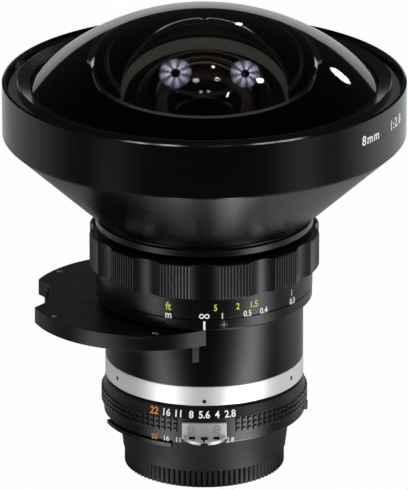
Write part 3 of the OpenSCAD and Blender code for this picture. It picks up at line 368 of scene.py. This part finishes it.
def prong_metal(name, grey, roughness):
    """Satin steel of the meter prong, with painted shade: black inside the windows and the slot of its
    ears.
    """
    material, s = new_shader(name)
    x, y, z = s.place()
    patch = s.noise(s.vector(x, y, z), scale=0.5, detail=4.0)
    metal = s.blend(patch, dark(grey, 0.9), dark(grey, 1.05))
    aside = (x.math("ABSOLUTE") - EAR_WINDOW_X).math("ABSOLUTE")
    window = (1.0 - (aside > EAR_WINDOW_HALF)) * (y > -EAR_WINDOW_END)
    slot = 1.0 - (x.math("ABSOLUTE") > EAR_SLOT_HALF)
    ear = (1.0 - (z > EAR_TOP)) * ((y * -1.0) > EAR_ROOT)
    s.principled({
        # Painted shade: the ear windows and slot are black
        "Base Color": s.blend((window + slot) * ear, metal, dark(WINDOW_SHADE_BLACK)),
        "Metallic": 0.5,
        "Roughness": uneven(patch, roughness, width=0.1),
        "Normal": s.bump(patch, strength=0.1, depth=0.006),
    })
    return material


def moulded_black(name, grey):
    """Moulded plastic with a leathery spark-eroded grain and painted shade between the ribs of the foot."""
    material, s = new_shader(name)
    x, y, z = s.place()
    point = s.vector(x, y, z)
    grain = s.noise(point, scale=2.6, detail=3.0)
    wear = s.noise(point, scale=0.16, detail=5.0)
    worn = s.blend(wear, dark(grey, 0.75), dark(grey, 1.35))
    # Painted shade: black and fully rough in the grooves between the foot's ribs
    groove_shade = (1.0 - smooth(off_axis(x, y), *CAP_GROOVE)) * (1.0 - (z > CAP_RIB_H))
    s.principled({
        "Base Color": s.blend(groove_shade, worn, dark(GROOVE_SHADE_BLACK)),
        "Roughness": uneven(grain, 0.6, width=0.2).math("MAXIMUM", groove_shade),
        "Specular IOR Level": 0.25,
        "Normal": s.bump(grain, strength=0.5, depth=0.09),
    })
    return material


def ringed_paint(name, grey, roughness, pitch, contrast=0.6, bore=None):
    """Ring or baffle with fine concentric grooves; where a bore's radii are given, the grey between them is
    painted light on the bore's wall and outside them it is dark.
    """
    material, s = new_shader(name)
    x, y, z = s.place()
    radius = off_axis(x, y)
    grooves = ripple(radius + z, pitch)
    wear = s.noise(s.vector(x, y, z), scale=0.3, detail=4.0)
    colour = s.blend(grooves * wear + 0.5, dark(grey, 1.0 - contrast), dark(grey, 1.0 + contrast))
    # Painted light: the bore's wall keeps the pale grey, the rest goes dark
    if bore:
        wall = (radius > bore[0]) * (1.0 - (radius > bore[1]))
        colour = s.blend(wall, dark(BORE_SURROUND), colour)
    s.principled({
        "Base Color": colour,
        "Roughness": uneven(wear, roughness, width=0.04),
        "Specular IOR Level": 0.2,
        "Normal": s.bump(grooves, strength=0.1, depth=0.008),
    })
    return material


def fill_paint(name, colour):
    """Paint rubbed into the engraving, a little uneven."""
    material, s = new_shader(name)
    worn = s.noise(s.vector(*s.place()), scale=2.2, detail=3.0)
    s.principled({
        "Base Color": s.blend(worn, shade(colour, 0.86), rgb(*colour)),
        "Roughness": uneven(worn, 0.55, width=0.1),
        "Specular IOR Level": 0.3,
    })
    return material


def coated_glass(name, colour, coating):
    """Optical glass: the coating tints and weakens what it reflects head-on."""
    material, s = new_shader(name)
    bloom = s.noise(s.vector(*s.place()), scale=0.05, detail=2.0)
    s.principled({
        "Base Color": s.blend(bloom, shade(colour, 0.95), rgb(*colour)),
        "Roughness": 0.0,
        "IOR": 1.52,
        "Transmission Weight": 1.0,
        "Specular Tint": rgb(*coating),
    })
    return material


GLOSS = black_enamel("gloss_enamel", 0.0015, 0.1, 0.006)
CONE = black_enamel("cone_enamel", 0.0015, 0.27, 0.03)
COLLAR = black_enamel("collar_enamel", 0.003, 0.22, 0.1)
BARREL = turned_black("turned_barrel", 0.002, 0.24, 0.22)
GRIP = ribbed_grip("grip_black", 0.003, 0.24)
TURRET = black_enamel("turret_enamel", 0.002, 0.28, 0.2)
RING = turned_black("aperture_black", 0.004, 0.3, 0.26)
RIM = ringed_paint("front_rim", 0.007, 0.16, 0.9)
# The front cell's pale grey is painted light on a black baffle, standing for its lit bore wall
LIT_BAFFLE = ringed_paint("baffle_painted_light", 0.5, 0.6, 1.1, 0.2, FRONT_BORE)
INNER = ringed_paint("inner_black", 0.006, 0.5, 0.7)
CHROME = plated("satin_chrome", (0.92, 0.92, 0.92), 0.4, 0.12, 0.58)
PRONG = prong_metal("prong_steel", 0.52, 0.42)
STEEL = plated("turned_steel", (0.55, 0.55, 0.55), 0.3, 0.2, 0.7)
BLACK_STEEL = plated("blackened_steel", (0.12, 0.12, 0.12), 0.22, 0.2, 0.9)
TURRET_SCREW = worn_screw_with_glints("turret_screw_black", True, top_of("turret_screws") / MM, 0.75)
INDEX_SCREW = worn_screw_with_glints("index_screw_black", False, crown_radius("index_screw") / MM, 0.04)
BRASS = plated("greased_brass", (0.70, 0.50, 0.22), 0.32, 0.25, 1.0, BLACK_AND_SHADE_ABOVE)
ALLOY = plated("bare_alloy", (0.68, 0.68, 0.69), 0.36, 0.2, 1.0, BLACK_AND_SHADE_ABOVE)
CAP = moulded_black("cap_plastic", 0.014)
BLADE = ringed_paint("blade_black", 0.02, 0.5, 0.4)
WHITE = fill_paint("white_fill", (0.90, 0.90, 0.88))
YELLOW = fill_paint("yellow_fill", (0.62, 0.66, 0.08))
ORANGE = fill_paint("orange_fill", (0.80, 0.27, 0.03))
BLACK = fill_paint("black_fill", (0.012, 0.012, 0.012))
DOME = coated_glass("dome_glass", (0.80, 0.70, 0.61), (0.47, 0.45, 0.51))
INSIDE = coated_glass("inner_glass", (0.93, 0.88, 0.84), (0.05, 0.04, 0.06))
FILTER_COATING = (0.4, 0.4, 0.4)
FILTERS = {
    "filter_clear": coated_glass("clear_filter", (0.95, 0.96, 0.96), FILTER_COATING),
    "filter_light_yellow": coated_glass("light_yellow_filter", (0.95, 0.88, 0.42), FILTER_COATING),
    "filter_yellow": coated_glass("yellow_filter", (0.95, 0.72, 0.10), FILTER_COATING),
    "filter_orange": coated_glass("orange_filter", (0.88, 0.34, 0.05), FILTER_COATING),
    "filter_red": coated_glass("red_filter", (0.62, 0.04, 0.03), FILTER_COATING),
}

NODE_FINISH = {
    "rear_cap": CAP, "hood_ring": GLOSS, "cone_shell": CONE, "front_collar": COLLAR,
    "front_retaining_ring": RIM, "front_cell": LIT_BAFFLE, "second_retaining_ring": INNER,
    "inner_barrel": INNER, "main_barrel": BARREL, "index_ring": BARREL, "index_screw": INDEX_SCREW,
    "turret_body": TURRET, "turret_cover": TURRET, "turret_saddle": BARREL, "filter_wheel": RING,
    "filter_rings": INNER, "focus_ring": GRIP, "aperture_ring": RING, "chrome_ring": CHROME,
    "meter_prong": PRONG, "bayonet_flange": CHROME, "rear_neck": INNER, "lever_guard": INNER,
    "rear_cell": INNER, "rear_retaining_ring": INNER, "iris_plate": INNER, "iris_retainer": INNER,
    "helicoid_nut": BRASS, "focus_lock_ring": BRASS, "helicoid_sleeve": ALLOY,
    "front_element": DOME, "second_element": INSIDE, "third_element": INSIDE,
    "fourth_element": INSIDE, "rear_element_1": INSIDE, "rear_element_2": INSIDE,
    "rear_element_3": INSIDE, "turret_screws": TURRET_SCREW, "collar_screws": BLACK_STEEL,
    "chrome_ring_screws": BLACK_STEEL, **FILTERS,
}

for name, node in NODES.items():
    finish = NODE_FINISH.get(name, BLADE if name.startswith("iris_blade") else STEEL)
    for slot in node.material_slots:
        slot.material = finish


# Engraved marks

def piece(name, vertices, faces, material, body):
    mesh = bpy.data.meshes.new(name)
    mesh.from_pydata(vertices, [], faces)
    mesh.materials.append(material)
    made = bpy.data.objects.new(name, mesh)
    scene.collection.objects.link(made)
    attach(made, body)


def glyphs(text, weight=0.0, spread=1.0):
    """Corners and faces of a text in the typeface's own units, centred across."""
    curve = bpy.data.curves.new("glyphs", "FONT")
    curve.body = text
    curve.align_x = "CENTER"
    curve.resolution_u = 3
    curve.offset = weight
    curve.space_character = spread
    holder = bpy.data.objects.new("glyphs", curve)
    scene.collection.objects.link(holder)
    flat = bpy.data.meshes.new_from_object(holder.evaluated_get(bpy.context.evaluated_depsgraph_get()))
    corners = [v.co.xy for v in flat.vertices]
    faces = [tuple(p.vertices) for p in flat.polygons]
    bpy.data.objects.remove(holder)
    bpy.data.meshes.remove(flat)
    return corners, faces


FIGURE = max(corner.y for corner in glyphs("1")[0])


def figures(text, weight, spread=1.0):
    """Corners and faces of a text, one unit high for a figure, centred on its middle."""
    corners, faces = glyphs(text, weight, spread)
    return [Vector((c.x / FIGURE, c.y / FIGURE - 0.5)) for c in corners], faces


LOOP_STEPS = 40
LOOP_HALF_W = 0.72
LOOP_TALL = 1.25
LOOP_STROKE = 0.09
LOOP_AHEAD = 0.01


def lemniscate(t):
    d = 1 + math.sin(t) ** 2
    tall = LOOP_TALL * LOOP_HALF_W
    return Vector((LOOP_HALF_W * math.cos(t) / d, tall * math.sin(t) * math.cos(t) / d))


def infinity():
    """The sign for infinity: a ribbon along a lemniscate."""
    corners = []
    for k in range(LOOP_STEPS):
        t = 2 * math.pi * k / LOOP_STEPS
        point = lemniscate(t)
        along = (lemniscate(t + LOOP_AHEAD) - point).normalized()
        across = Vector((-along.y, along.x)) * LOOP_STROKE
        corners += [point + across, point - across]
    count = len(corners)
    faces = [(k, k + 1, (k + 3) % count, (k + 2) % count) for k in range(0, count, 2)]
    return corners, faces


def bar(width, height):
    corners = ((-1, -1), (1, -1), (1, 1), (-1, 1))
    return [Vector((x * width / 2, y * height / 2)) for x, y in corners], [(0, 1, 2, 3)]


def disc(sides):
    """A round shape, one unit across."""
    turn = 2 * math.pi / sides
    corners = [Vector((math.cos(turn * k) / 2, math.sin(turn * k) / 2)) for k in range(sides)]
    return corners, [tuple(range(sides))]


def closed_mark(loops, front, back):
    """Faces of a mark with a front, a back and a wall round each edge; front and back are first corners."""
    edges = {(a, b) for loop in loops for a, b in zip(loop, loop[1:] + loop[:1])}
    rim = sorted((a, b) for a, b in edges if (b, a) not in edges)
    faces = [tuple(front + k for k in loop) for loop in loops]
    faces += [tuple(back + k for k in reversed(loop)) for loop in loops]
    faces += [(front + b, front + a, back + a, back + b) for a, b in rim]
    return faces


def engrave(name, marks, wall, material, body):
    """Wraps marks (shape, azimuth, height, scale, squeeze) round a wall; wall(z) is its radius."""
    vertices, faces = [], []
    for (corners, loops), azimuth, height, scale, squeeze in marks:
        front = len(vertices)
        for depth in (LIFT, -FILL_DEPTH):
            for c in corners:
                z = height + c.y * scale
                turn = math.degrees(c.x * scale * squeeze / wall(height))
                vertices.append(front_point(wall(z) + depth, azimuth + turn, z))
        faces += closed_mark(loops, front, front + len(corners))
    piece(name, vertices, faces, material, body)


def upright(radius):
    """A wall with the same radius at every height."""
    return lambda z: radius


def number_band(z):
    share = (z - NUMBER_BAND[0]) / (NUMBER_BAND[1] - NUMBER_BAND[0])
    return NUMBER_BAND_R[0] + (NUMBER_BAND_R[1] - NUMBER_BAND_R[0]) * share


# f-numbers on the aperture ring, which rests at f/5.6
STOP_TURN = 7.4
STOPS = ["22", "16", "11", "8", "5.6", "4", "2.8"]
STOP_AT = {text: STOP_TURN * (k - STOPS.index("5.6")) for k, text in enumerate(STOPS)}
STOP_Z = 26.75 * MM
STOP_H = 2.1 * MM
SMALL_STOP_Z = 18.2 * MM
SMALL_STOP_H = 1.5 * MM
STOP_WEIGHT = 0.02
STOP_SQUEEZE = 0.95
STOP_ROWS = [
    ("stop_figures", STOPS[1:], STOP_Z, STOP_H, number_band, WHITE),
    ("stop_figure_smallest", STOPS[:1], STOP_Z, STOP_H, number_band, ORANGE),
    ("small_stop_figures", STOPS[1:], SMALL_STOP_Z, SMALL_STOP_H, upright(FOOT_BAND_R), WHITE),
    ("small_stop_smallest", STOPS[:1], SMALL_STOP_Z, SMALL_STOP_H, upright(FOOT_BAND_R), ORANGE),
]
for name, texts, height, size, wall, paint in STOP_ROWS:
    marks = [(figures(t, STOP_WEIGHT), STOP_AT[t], height, size, STOP_SQUEEZE) for t in texts]
    engrave(name, marks, wall, paint, "aperture_ring")

# Distances on the focus ring, each with its azimuth
FEET = [("ft", -19.2), ("5", 5.9), ("2", 17.8), ("1.5", 26.8), ("1", 53.1)]
METRES = [("m", -19.2), ("1", 9.5), ("0.5", 23.3), ("0.4", 32.9), ("0.3", 53.8)]
FEET_Z = 62.3 * MM
METRE_Z = 59.6 * MM
SCALE_H = 1.95 * MM
METRE_SHARE = 0.92
UNIT_SHARE = 1.25
SCALE_WEIGHT = 0.015
SCALE_SQUEEZE = 0.85


def distances(table, height, share):
    """Marks of a row of distances; the name of the unit is larger than the figures."""
    marks = []
    for text, azimuth in table:
        size = SCALE_H * (UNIT_SHARE if text.isalpha() else 1.0) * share
        marks.append((figures(text, SCALE_WEIGHT), azimuth, height, size, SCALE_SQUEEZE))
    return marks


feet = distances(FEET, FEET_Z, 1.0)
engrave("distance_feet", feet, upright(SCALE_R), YELLOW, "focus_ring")
metres = distances(METRES, METRE_Z, METRE_SHARE) + [(infinity(), 0, METRE_Z, SCALE_H, 1.0)]
engrave("distance_metres", metres, upright(SCALE_R), WHITE, "focus_ring")

# Index line, index dot and the figures on the hood
LINE_W = 0.65 * MM
LINE_MARGIN = 0.7 * MM
LINE_Z = (INDEX_TOP + INDEX_FOOT) / 2 - 0.1 * MM
index_line = bar(LINE_W, INDEX_TOP - INDEX_FOOT - LINE_MARGIN)
engrave("index_line", [(index_line, 0, LINE_Z, 1.0, 1.0)], upright(INDEX_R), WHITE, "barrel")

DOT_Z = CHROME_FOOT + 1.5 * MM
DOT_W = 1.2 * MM
DOT_SIDES = 24
index_dot = disc(DOT_SIDES)
engrave("index_dot", [(index_dot, 0, DOT_Z, DOT_W, 1.0)], upright(CHROME_R), BLACK, "barrel")

HOOD_TEXT = [("8mm", 54.3), ("1:2.8", 69.6)]
HOOD_TEXT_Z = HOOD_TOP - 6.3 * MM
HOOD_TEXT_H = 2.9 * MM
HOOD_WEIGHT = 0.012
HOOD_SPREAD = 1.2
HOOD_SQUEEZE = 0.95
hood_marks = [(figures(t, HOOD_WEIGHT, HOOD_SPREAD), azimuth, HOOD_TEXT_Z, HOOD_TEXT_H, HOOD_SQUEEZE)
              for t, azimuth in HOOD_TEXT]
engrave("hood_figures", hood_marks, upright(HOOD_R), WHITE, "front_unit")


# Grip bumps on the aperture ring

class GeometryTree:
    """A Geometry Nodes tree with named inputs, run once on an empty mesh."""

    def __init__(self, name, inputs):
        self.tree = bpy.data.node_groups.new(name, "GeometryNodeTree")
        self.ids = {}
        for label, kind in inputs.items():
            made = self.tree.interface.new_socket(label, in_out="INPUT", socket_type=kind)
            self.ids[label] = made.identifier
        self.tree.interface.new_socket("Geometry", in_out="OUTPUT", socket_type="NodeSocketGeometry")
        self.inputs = self.tree.nodes.new("NodeGroupInput")

    def given(self, label):
        return self.inputs.outputs[label]

    def node(self, kind, settings=None, inputs=None):
        made = self.tree.nodes.new(kind)
        for key, value in (settings or {}).items():
            setattr(made, key, value)
        for key, value in (inputs or {}).items():
            if isinstance(value, bpy.types.NodeSocket):
                self.tree.links.new(value, made.inputs[key])
            else:
                made.inputs[key].default_value = value
        return made.outputs

    def maths(self, operation, first, second=0.0):
        return self.node("ShaderNodeMath", {"operation": operation}, {0: first, 1: second})[0]

    def run(self, name, values, body, slot):
        """Makes a plain mesh of the tree's result, riding on a body."""
        holder = bpy.data.objects.new(name, bpy.data.meshes.new(name))
        scene.collection.objects.link(holder)
        modifier = holder.modifiers.new(name, "NODES")
        modifier.node_group = self.tree
        for label, value in values.items():
            modifier[self.ids[label]] = value
        dressed = holder.evaluated_get(bpy.context.evaluated_depsgraph_get())
        mesh = bpy.data.meshes.new_from_object(dressed)
        holder.modifiers.remove(modifier)
        holder.data = mesh
        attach(holder, body)


# Half-diagonal of a bump at its top and at its root, as shares of its width
BUMP_PEAK = 0.42
BUMP_ROOT = 0.68


def bump_band():
    """Rows of square bumps on a round band, from one azimuth round to another."""
    g = GeometryTree("bump_band", {
        "Radius": "NodeSocketFloat", "Foot": "NodeSocketFloat", "Height": "NodeSocketFloat",
        "Middle": "NodeSocketFloat", "Sweep": "NodeSocketFloat", "Columns": "NodeSocketInt",
        "Rows": "NodeSocketInt", "Width": "NodeSocketFloat", "Rise": "NodeSocketFloat",
        "Material": "NodeSocketMaterial"})
    grid = g.node("GeometryNodeMeshGrid", None, {
        "Size X": g.given("Sweep"), "Size Y": g.given("Height"),
        "Vertices X": g.given("Columns"), "Vertices Y": g.given("Rows")})["Mesh"]
    place = g.node("ShaderNodeSeparateXYZ", None, {0: g.node("GeometryNodeInputPosition")[0]})
    turn = g.maths("ADD", place[0], g.given("Middle"))
    rise = g.maths("ADD", place[1], g.given("Foot"))
    across = g.maths("MULTIPLY", g.maths("SINE", turn), g.given("Radius"))
    ahead = g.maths("MULTIPLY", g.maths("COSINE", turn), g.given("Radius"))
    back = g.maths("MULTIPLY", ahead, -1.0)
    wrapped = g.node("ShaderNodeCombineXYZ", None, {0: across, 1: back, 2: rise})[0]
    facing = g.node("ShaderNodeCombineXYZ", None, {0: math.pi / 2, 1: 0.0, 2: turn})[0]
    attribute = g.node("GeometryNodeCaptureAttribute", None, {"Geometry": grid})[0].node
    attribute.capture_items.new("VECTOR", "facing")
    g.tree.links.new(facing, attribute.inputs[1])
    set_place = g.node("GeometryNodeSetPosition", None, {
        "Geometry": attribute.outputs[0], "Position": wrapped})[0]
    peak = g.maths("MULTIPLY", g.given("Width"), BUMP_PEAK)
    root = g.maths("MULTIPLY", g.given("Width"), BUMP_ROOT)
    cone = g.node("GeometryNodeMeshCone", {"fill_type": "NGON"}, {
        "Vertices": 4, "Side Segments": 1, "Fill Segments": 1, "Radius Top": peak, "Radius Bottom": root,
        "Depth": g.given("Rise")})["Mesh"]
    stud = g.node("GeometryNodeTransform", None, {"Geometry": cone, "Rotation": (0.0, 0.0, math.pi / 4)})[0]
    studs = g.node("GeometryNodeInstanceOnPoints", None, {
        "Points": set_place, "Instance": stud, "Rotation": attribute.outputs[1]})[0]
    real = g.node("GeometryNodeRealizeInstances", None, {"Geometry": studs})[0]
    painted = g.node("GeometryNodeSetMaterial", None, {
        "Geometry": real, "Material": g.given("Material")})[0]
    g.node("NodeGroupOutput", None, {"Geometry": painted})
    return g


BUMP_PITCH = 1.92 * MM
BUMP_W = 1.5 * MM
BUMP_H = 0.66 * MM
BUMP_FROM = 19.0
BUMP_TO = 343.5
BUMP_ROWS = 3
BAND_FOOT = 20.7 * MM
BAND_H = 4.7 * MM
BAND_SWEEP = math.radians(BUMP_TO - BUMP_FROM)
bump_band().run("grip_bumps", {
    "Radius": GRIP_R - FILL_DEPTH, "Foot": BAND_FOOT + BAND_H / 2,
    "Height": BAND_H / BUMP_ROWS * (BUMP_ROWS - 1),
    "Middle": math.radians((BUMP_FROM + BUMP_TO) / 2), "Sweep": BAND_SWEEP,
    "Columns": round(BAND_SWEEP * GRIP_R / BUMP_PITCH) + 1, "Rows": BUMP_ROWS,
    "Width": BUMP_W, "Rise": BUMP_H, "Material": RING}, "aperture_ring", "satin_black")


# Stage, lamps and camera

TARGET = Vector((-0.1, 0.0, 70.42)) * MM
VIEW_ELEVATION = 20.171
VIEW_DISTANCE = 2.3
VIEW_END = 20.0
FOCAL = 552.4
SENSOR_W = 36.0
FLOOR_HALF = 3.0

# Soft lamps: name, azimuth, elevation, distance, width and height in metres, power in watts
SOFTBOXES = [
    ("key_right", 50.0, 30.0, 1.3, 0.7, 0.7, 9.0),
    ("fill_left", -50.0, 30.0, 1.4, 0.6, 0.7, 6.0),
]

# Light that gloss sees on the floor; radii are in millimetres from the axis
FLOOR_GREY = 0.86
FLOOR_WHITE = 0.97
FLOOR_SHINE = 0.02
FOOT_REACH = (70.0, 170.0)
POOL_REACH = (230.0, 340.0)
POOL_LOSS = 0.9
SIDE_AZIMUTH = (62.0, 112.0)
SIDE_REACH = (120.0, 300.0)

# Its two pools: azimuth and what the foot adds to it, spread, strength and what the foot adds to it
POOLS = [(54.0, -18.0, 14.0, 3.8, 2.5), (-50.0, 16.0, 13.5, 1.9, 2.0)]

# The sky by a ray's direction, for mirrored rays (the paper) and rays through glass (the rest)
AMBIENT = 0.45
PAPER_BACK = (0.1, 0.6)
PAPER_TOP = (0.13, 0.17)
PAPER_LIGHT = 0.75
PAPER_DIM = 0.03
SKYLINE_FOOT = (0.0, 0.03)
SKYLINE_TOP = (0.08, 0.16)
SKYLINE_SIDE = (0.55, 0.72)
SKYLINE_LIGHT = 0.6
OVERHEAD = (0.5, 0.88)
OVERHEAD_LIGHT = 0.045
INSIDE_LIGHT = 0.65
GLASS_DIM = 0.008

PURE_WHITE = rgb(1.0, 1.0, 1.0)
BULB_WHITE = rgb(1.0, 0.97, 0.90)
COOL = rgb(0.80, 0.78, 1.0)
WARM = rgb(1.0, 0.90, 0.76)
COOL_SKY = rgb(0.70, 0.85, 1.0)

# Lamps that the dome mirrors: name, spot on the dome in millimetres, direction to the lamp,
# width and height in metres, roll in degrees, strength, and an umbrella's colour
LAMP_DISTANCE = 1.0
LAMP_SIDES = 48
UMBRELLAS = [
    ("umbrella_left", (-8.6, -32.2, 137.0), (-0.167, 0.336, 0.927), 0.21, 0.375, -24.7, 17.0, COOL),
    ("umbrella_right", (12.2, -31.7, 136.7), (0.233, 0.352, 0.906), 0.19, 0.355, 31.3, 17.0, COOL),
    ("far_umbrella_left", (-2.5, -35.5, 135.8), (-0.052, 0.238, 0.970), 0.052, 0.06, -8.0, 28.0, WARM),
    ("far_umbrella_right", (3.9, -35.0, 136.0), (0.079, 0.253, 0.964), 0.046, 0.05, 10.0, 28.0, WARM),
]
BULBS = [
    ("bulb_behind", (10.5, -6.7, 143.9), (0.117, 0.876, 0.467), 0.028, 0.066, 0.0, 20.0),
    ("bulb_right", (41.0, -15.6, 130.5), (0.517, 0.756, 0.401), 0.115, 0.125, 40.0, 20.0),
    ("bulb_front", (16.6, -33.2, 135.0), (0.323, 0.315, 0.892), 0.052, 0.07, 44.0, 54.0),
    ("bulb_middle", (2.6, -30.4, 138.3), (0.050, 0.386, 0.921), 0.024, 0.036, 7.0, 54.0),
    ("bulb_low", (7.0, -40.0, 132.9), (0.151, 0.098, 0.984), 0.016, 0.072, 45.0, 45.0),
    ("faint_left", (-0.9, -39.5, 133.5), (-0.020, 0.113, 0.993), 0.026, 0.038, 0.0, 9.0),
    ("faint_right", (1.3, -39.3, 133.6), (0.028, 0.119, 0.993), 0.026, 0.038, 4.0, 9.0),
]

# A lamp's face from its middle, 0, to its edge, 1
RIBS = 8.0
RIB_MIDDLE = 0.58
RIB_SWING = 0.42
HUB_EDGE = (0.25, 0.31)
CLOTH_FADE = (0.35, 1.0)
CLOTH_LOSS = 0.75
CLOTH_EDGE = (0.88, 1.0)
BULB_EDGE = (0.7, 1.0)


def seen_from(azimuth, elevation, distance):
    a, e = math.radians(azimuth), math.radians(elevation)
    return TARGET + Vector((math.sin(a) * math.cos(e), -math.cos(a) * math.cos(e), math.sin(e))) * distance


def aim(thing, target):
    thing.rotation_euler = (target - thing.location).to_track_quat("-Z", "Y").to_euler()


def softbox(name, azimuth, elevation, distance, width, height, power):
    """A soft lamp that lights the lens but isn't mirrored in it."""
    lamp = bpy.data.lights.new(name, "AREA")
    lamp.shape = "RECTANGLE"
    lamp.size = width
    lamp.size_y = height
    lamp.energy = power
    holder = bpy.data.objects.new(name, lamp)
    scene.collection.objects.link(holder)
    holder.location = seen_from(azimuth, elevation, distance)
    aim(holder, TARGET)
    holder.visible_glossy = False
    holder.visible_transmission = False


def ray_kinds(shader):
    """Camera rays, mirrored rays, rays through glass, and rays that a matt face has scattered.

    A ray through glass also counts as glossy, so the mirrored ones are those that are not through glass.
    """
    path = shader.node("ShaderNodeLightPath")
    outs = path.socket.node.outputs
    names = ("Is Camera Ray", "Is Glossy Ray", "Is Transmission Ray", "Diffuse Depth")
    camera, glossy, through, scattered = [Value(shader, outs[n]) for n in names]
    return camera, glossy * (1.0 - through), through, scattered > 0.5


def pool(azimuth, middle, spread):
    """A soft lobe of light round an azimuth."""
    away = (azimuth - middle) / spread
    return (away * away * -1.0).math("EXPONENT")


def floor_material():
    """White to the camera; gloss sees light pools beside the lens and the lit paper behind it."""
    material, s = new_shader("pale_floor")
    camera, mirrored, through, _ = ray_kinds(s)
    x, y, _ = s.place()
    azimuth = x.math("ARCTAN2", y * -1.0) * (180 / math.pi)
    radius = off_axis(x, y)
    near = 1.0 - smooth(radius, *POOL_REACH) * POOL_LOSS
    foot = 1.0 - smooth(radius, *FOOT_REACH)
    sides = smooth(azimuth.math("ABSOLUTE"), *SIDE_AZIMUTH) * ramp(smooth(radius, *SIDE_REACH), 0.42, 0.45)
    sides = sides * ramp(x / radius, 0.72, 0.25)
    right, left = [pool(azimuth, ramp(foot, middle, shift), spread) * ramp(foot, light, gain)
                   for middle, shift, spread, light, gain in POOLS]
    shine = sides + (right + left) * near + FLOOR_SHINE
    lit = s.node("ShaderNodeBsdfDiffuse", None, {"Color": dark(FLOOR_GREY)})
    strength = camera + mirrored * shine + through * GLASS_DIM
    white = s.node("ShaderNodeEmission", None, {"Color": PURE_WHITE, "Strength": strength})
    share = camera * FLOOR_WHITE + mirrored + through
    mix = s.node("ShaderNodeMixShader", None, {0: share, 1: lit, 2: white})
    s.node("ShaderNodeOutputMaterial", None, {"Surface": mix})
    return material


def make_floor():
    mesh = bpy.data.meshes.new("floor")
    corners, faces = bar(2 * FLOOR_HALF, 2 * FLOOR_HALF)
    mesh.from_pydata([(c.x, c.y, 0) for c in corners], [], faces)
    mesh.materials.append(floor_material())
    made = bpy.data.objects.new("floor", mesh)
    scene.collection.objects.link(made)


def make_world():
    """White to the camera; lit paper, a skyline and an overhead light for the glass and the gloss."""
    world = bpy.data.worlds.new("studio")
    scene.world = world
    s = Shader(world)
    camera, mirrored, through, scattered = ray_kinds(s)
    x, y, z = s.parts(s.node("ShaderNodeTexCoord", out="Generated"))
    paper = ramp(smooth(y, *PAPER_BACK) * (1.0 - smooth(z, *PAPER_TOP)), PAPER_DIM, PAPER_LIGHT)
    middle = 1.0 - smooth(x.math("ABSOLUTE"), *SKYLINE_SIDE)
    skyline = smooth(z, *SKYLINE_FOOT) * (1.0 - smooth(z, *SKYLINE_TOP)) * middle * SKYLINE_LIGHT
    overhead = smooth(z, *OVERHEAD) * OVERHEAD_LIGHT
    glass = overhead + skyline + ramp(scattered, GLASS_DIM, INSIDE_LIGHT)
    plain = 1.0 - camera - mirrored - through
    strength = camera + mirrored * paper + through * glass + plain.math("MAXIMUM", 0.0) * AMBIENT
    colour = s.blend(through * scattered, PURE_WHITE, COOL_SKY)
    s.surface("ShaderNodeBackground", {"Color": colour, "Strength": strength}, "ShaderNodeOutputWorld")


def lamp_face(shader, width, height):
    """Places on a lamp's face, across, along and out from its middle, 1 at its edge."""
    x, y, _ = shader.place()
    across = x * (2 * MM / width)
    along = y * (2 * MM / height)
    return across, along, off_axis(across, along)


def umbrella_material(name, colour, width, height, strength):
    """A lit umbrella: bright ribs, a dark hub and a cloth that fades to its edge."""
    material, s = new_shader(name)
    across, along, radius = lamp_face(s, width, height)
    ribs = ramp((along.math("ARCTAN2", across) * RIBS).math("COSINE"), RIB_MIDDLE, RIB_SWING)
    cloth = (1.0 - smooth(radius, *CLOTH_FADE) * CLOTH_LOSS) * (1.0 - smooth(radius, *CLOTH_EDGE))
    glow = ribs * smooth(radius, *HUB_EDGE) * cloth * strength
    s.surface("ShaderNodeEmission", {"Color": colour, "Strength": glow})
    return material


def bulb_material(name, width, height, strength):
    """A bright lamp with a soft edge."""
    material, s = new_shader(name)
    radius = lamp_face(s, width, height)[2]
    glow = (1.0 - smooth(radius, *BULB_EDGE)) * strength
    s.surface("ShaderNodeEmission", {"Color": BULB_WHITE, "Strength": glow})
    return material


def lamp_disc(name, spot, towards, width, height, material, roll):
    """A round lamp that the dome's front face shows at a spot."""
    mesh = bpy.data.meshes.new(name)
    corners, faces = disc(LAMP_SIDES)
    mesh.from_pydata([(c.x * width, c.y * height, 0) for c in corners], [], faces)
    mesh.materials.append(material)
    made = bpy.data.objects.new(name, mesh)
    scene.collection.objects.link(made)
    seen_at = Vector(spot) * MM
    made.location = seen_at + Vector(towards).normalized() * LAMP_DISTANCE
    aim(made, seen_at)
    made.rotation_euler.rotate_axis("Z", math.radians(roll))
    made.visible_camera = False
    made.visible_diffuse = False
    made.visible_shadow = False
    made.visible_transmission = False


def make_camera():
    camera = bpy.data.objects.new("camera", bpy.data.cameras.new("camera"))
    camera.data.lens = FOCAL
    camera.data.sensor_width = SENSOR_W
    camera.data.clip_end = VIEW_END
    scene.collection.objects.link(camera)
    camera.location = seen_from(0.0, VIEW_ELEVATION, VIEW_DISTANCE)
    aim(camera, TARGET)
    scene.camera = camera


make_floor()
make_world()
make_camera()
for name, spot, towards, width, height, roll, strength, colour in UMBRELLAS:
    cloth = umbrella_material(name + "_cloth", colour, width, height, strength)
    lamp_disc(name, spot, towards, width, height, cloth, roll)
for name, spot, towards, width, height, roll, strength in BULBS:
    light = bulb_material(name + "_light", width, height, strength)
    lamp_disc(name, spot, towards, width, height, light, roll)
for settings in SOFTBOXES:
    softbox(*settings)
scene.view_settings.view_transform = "Standard"
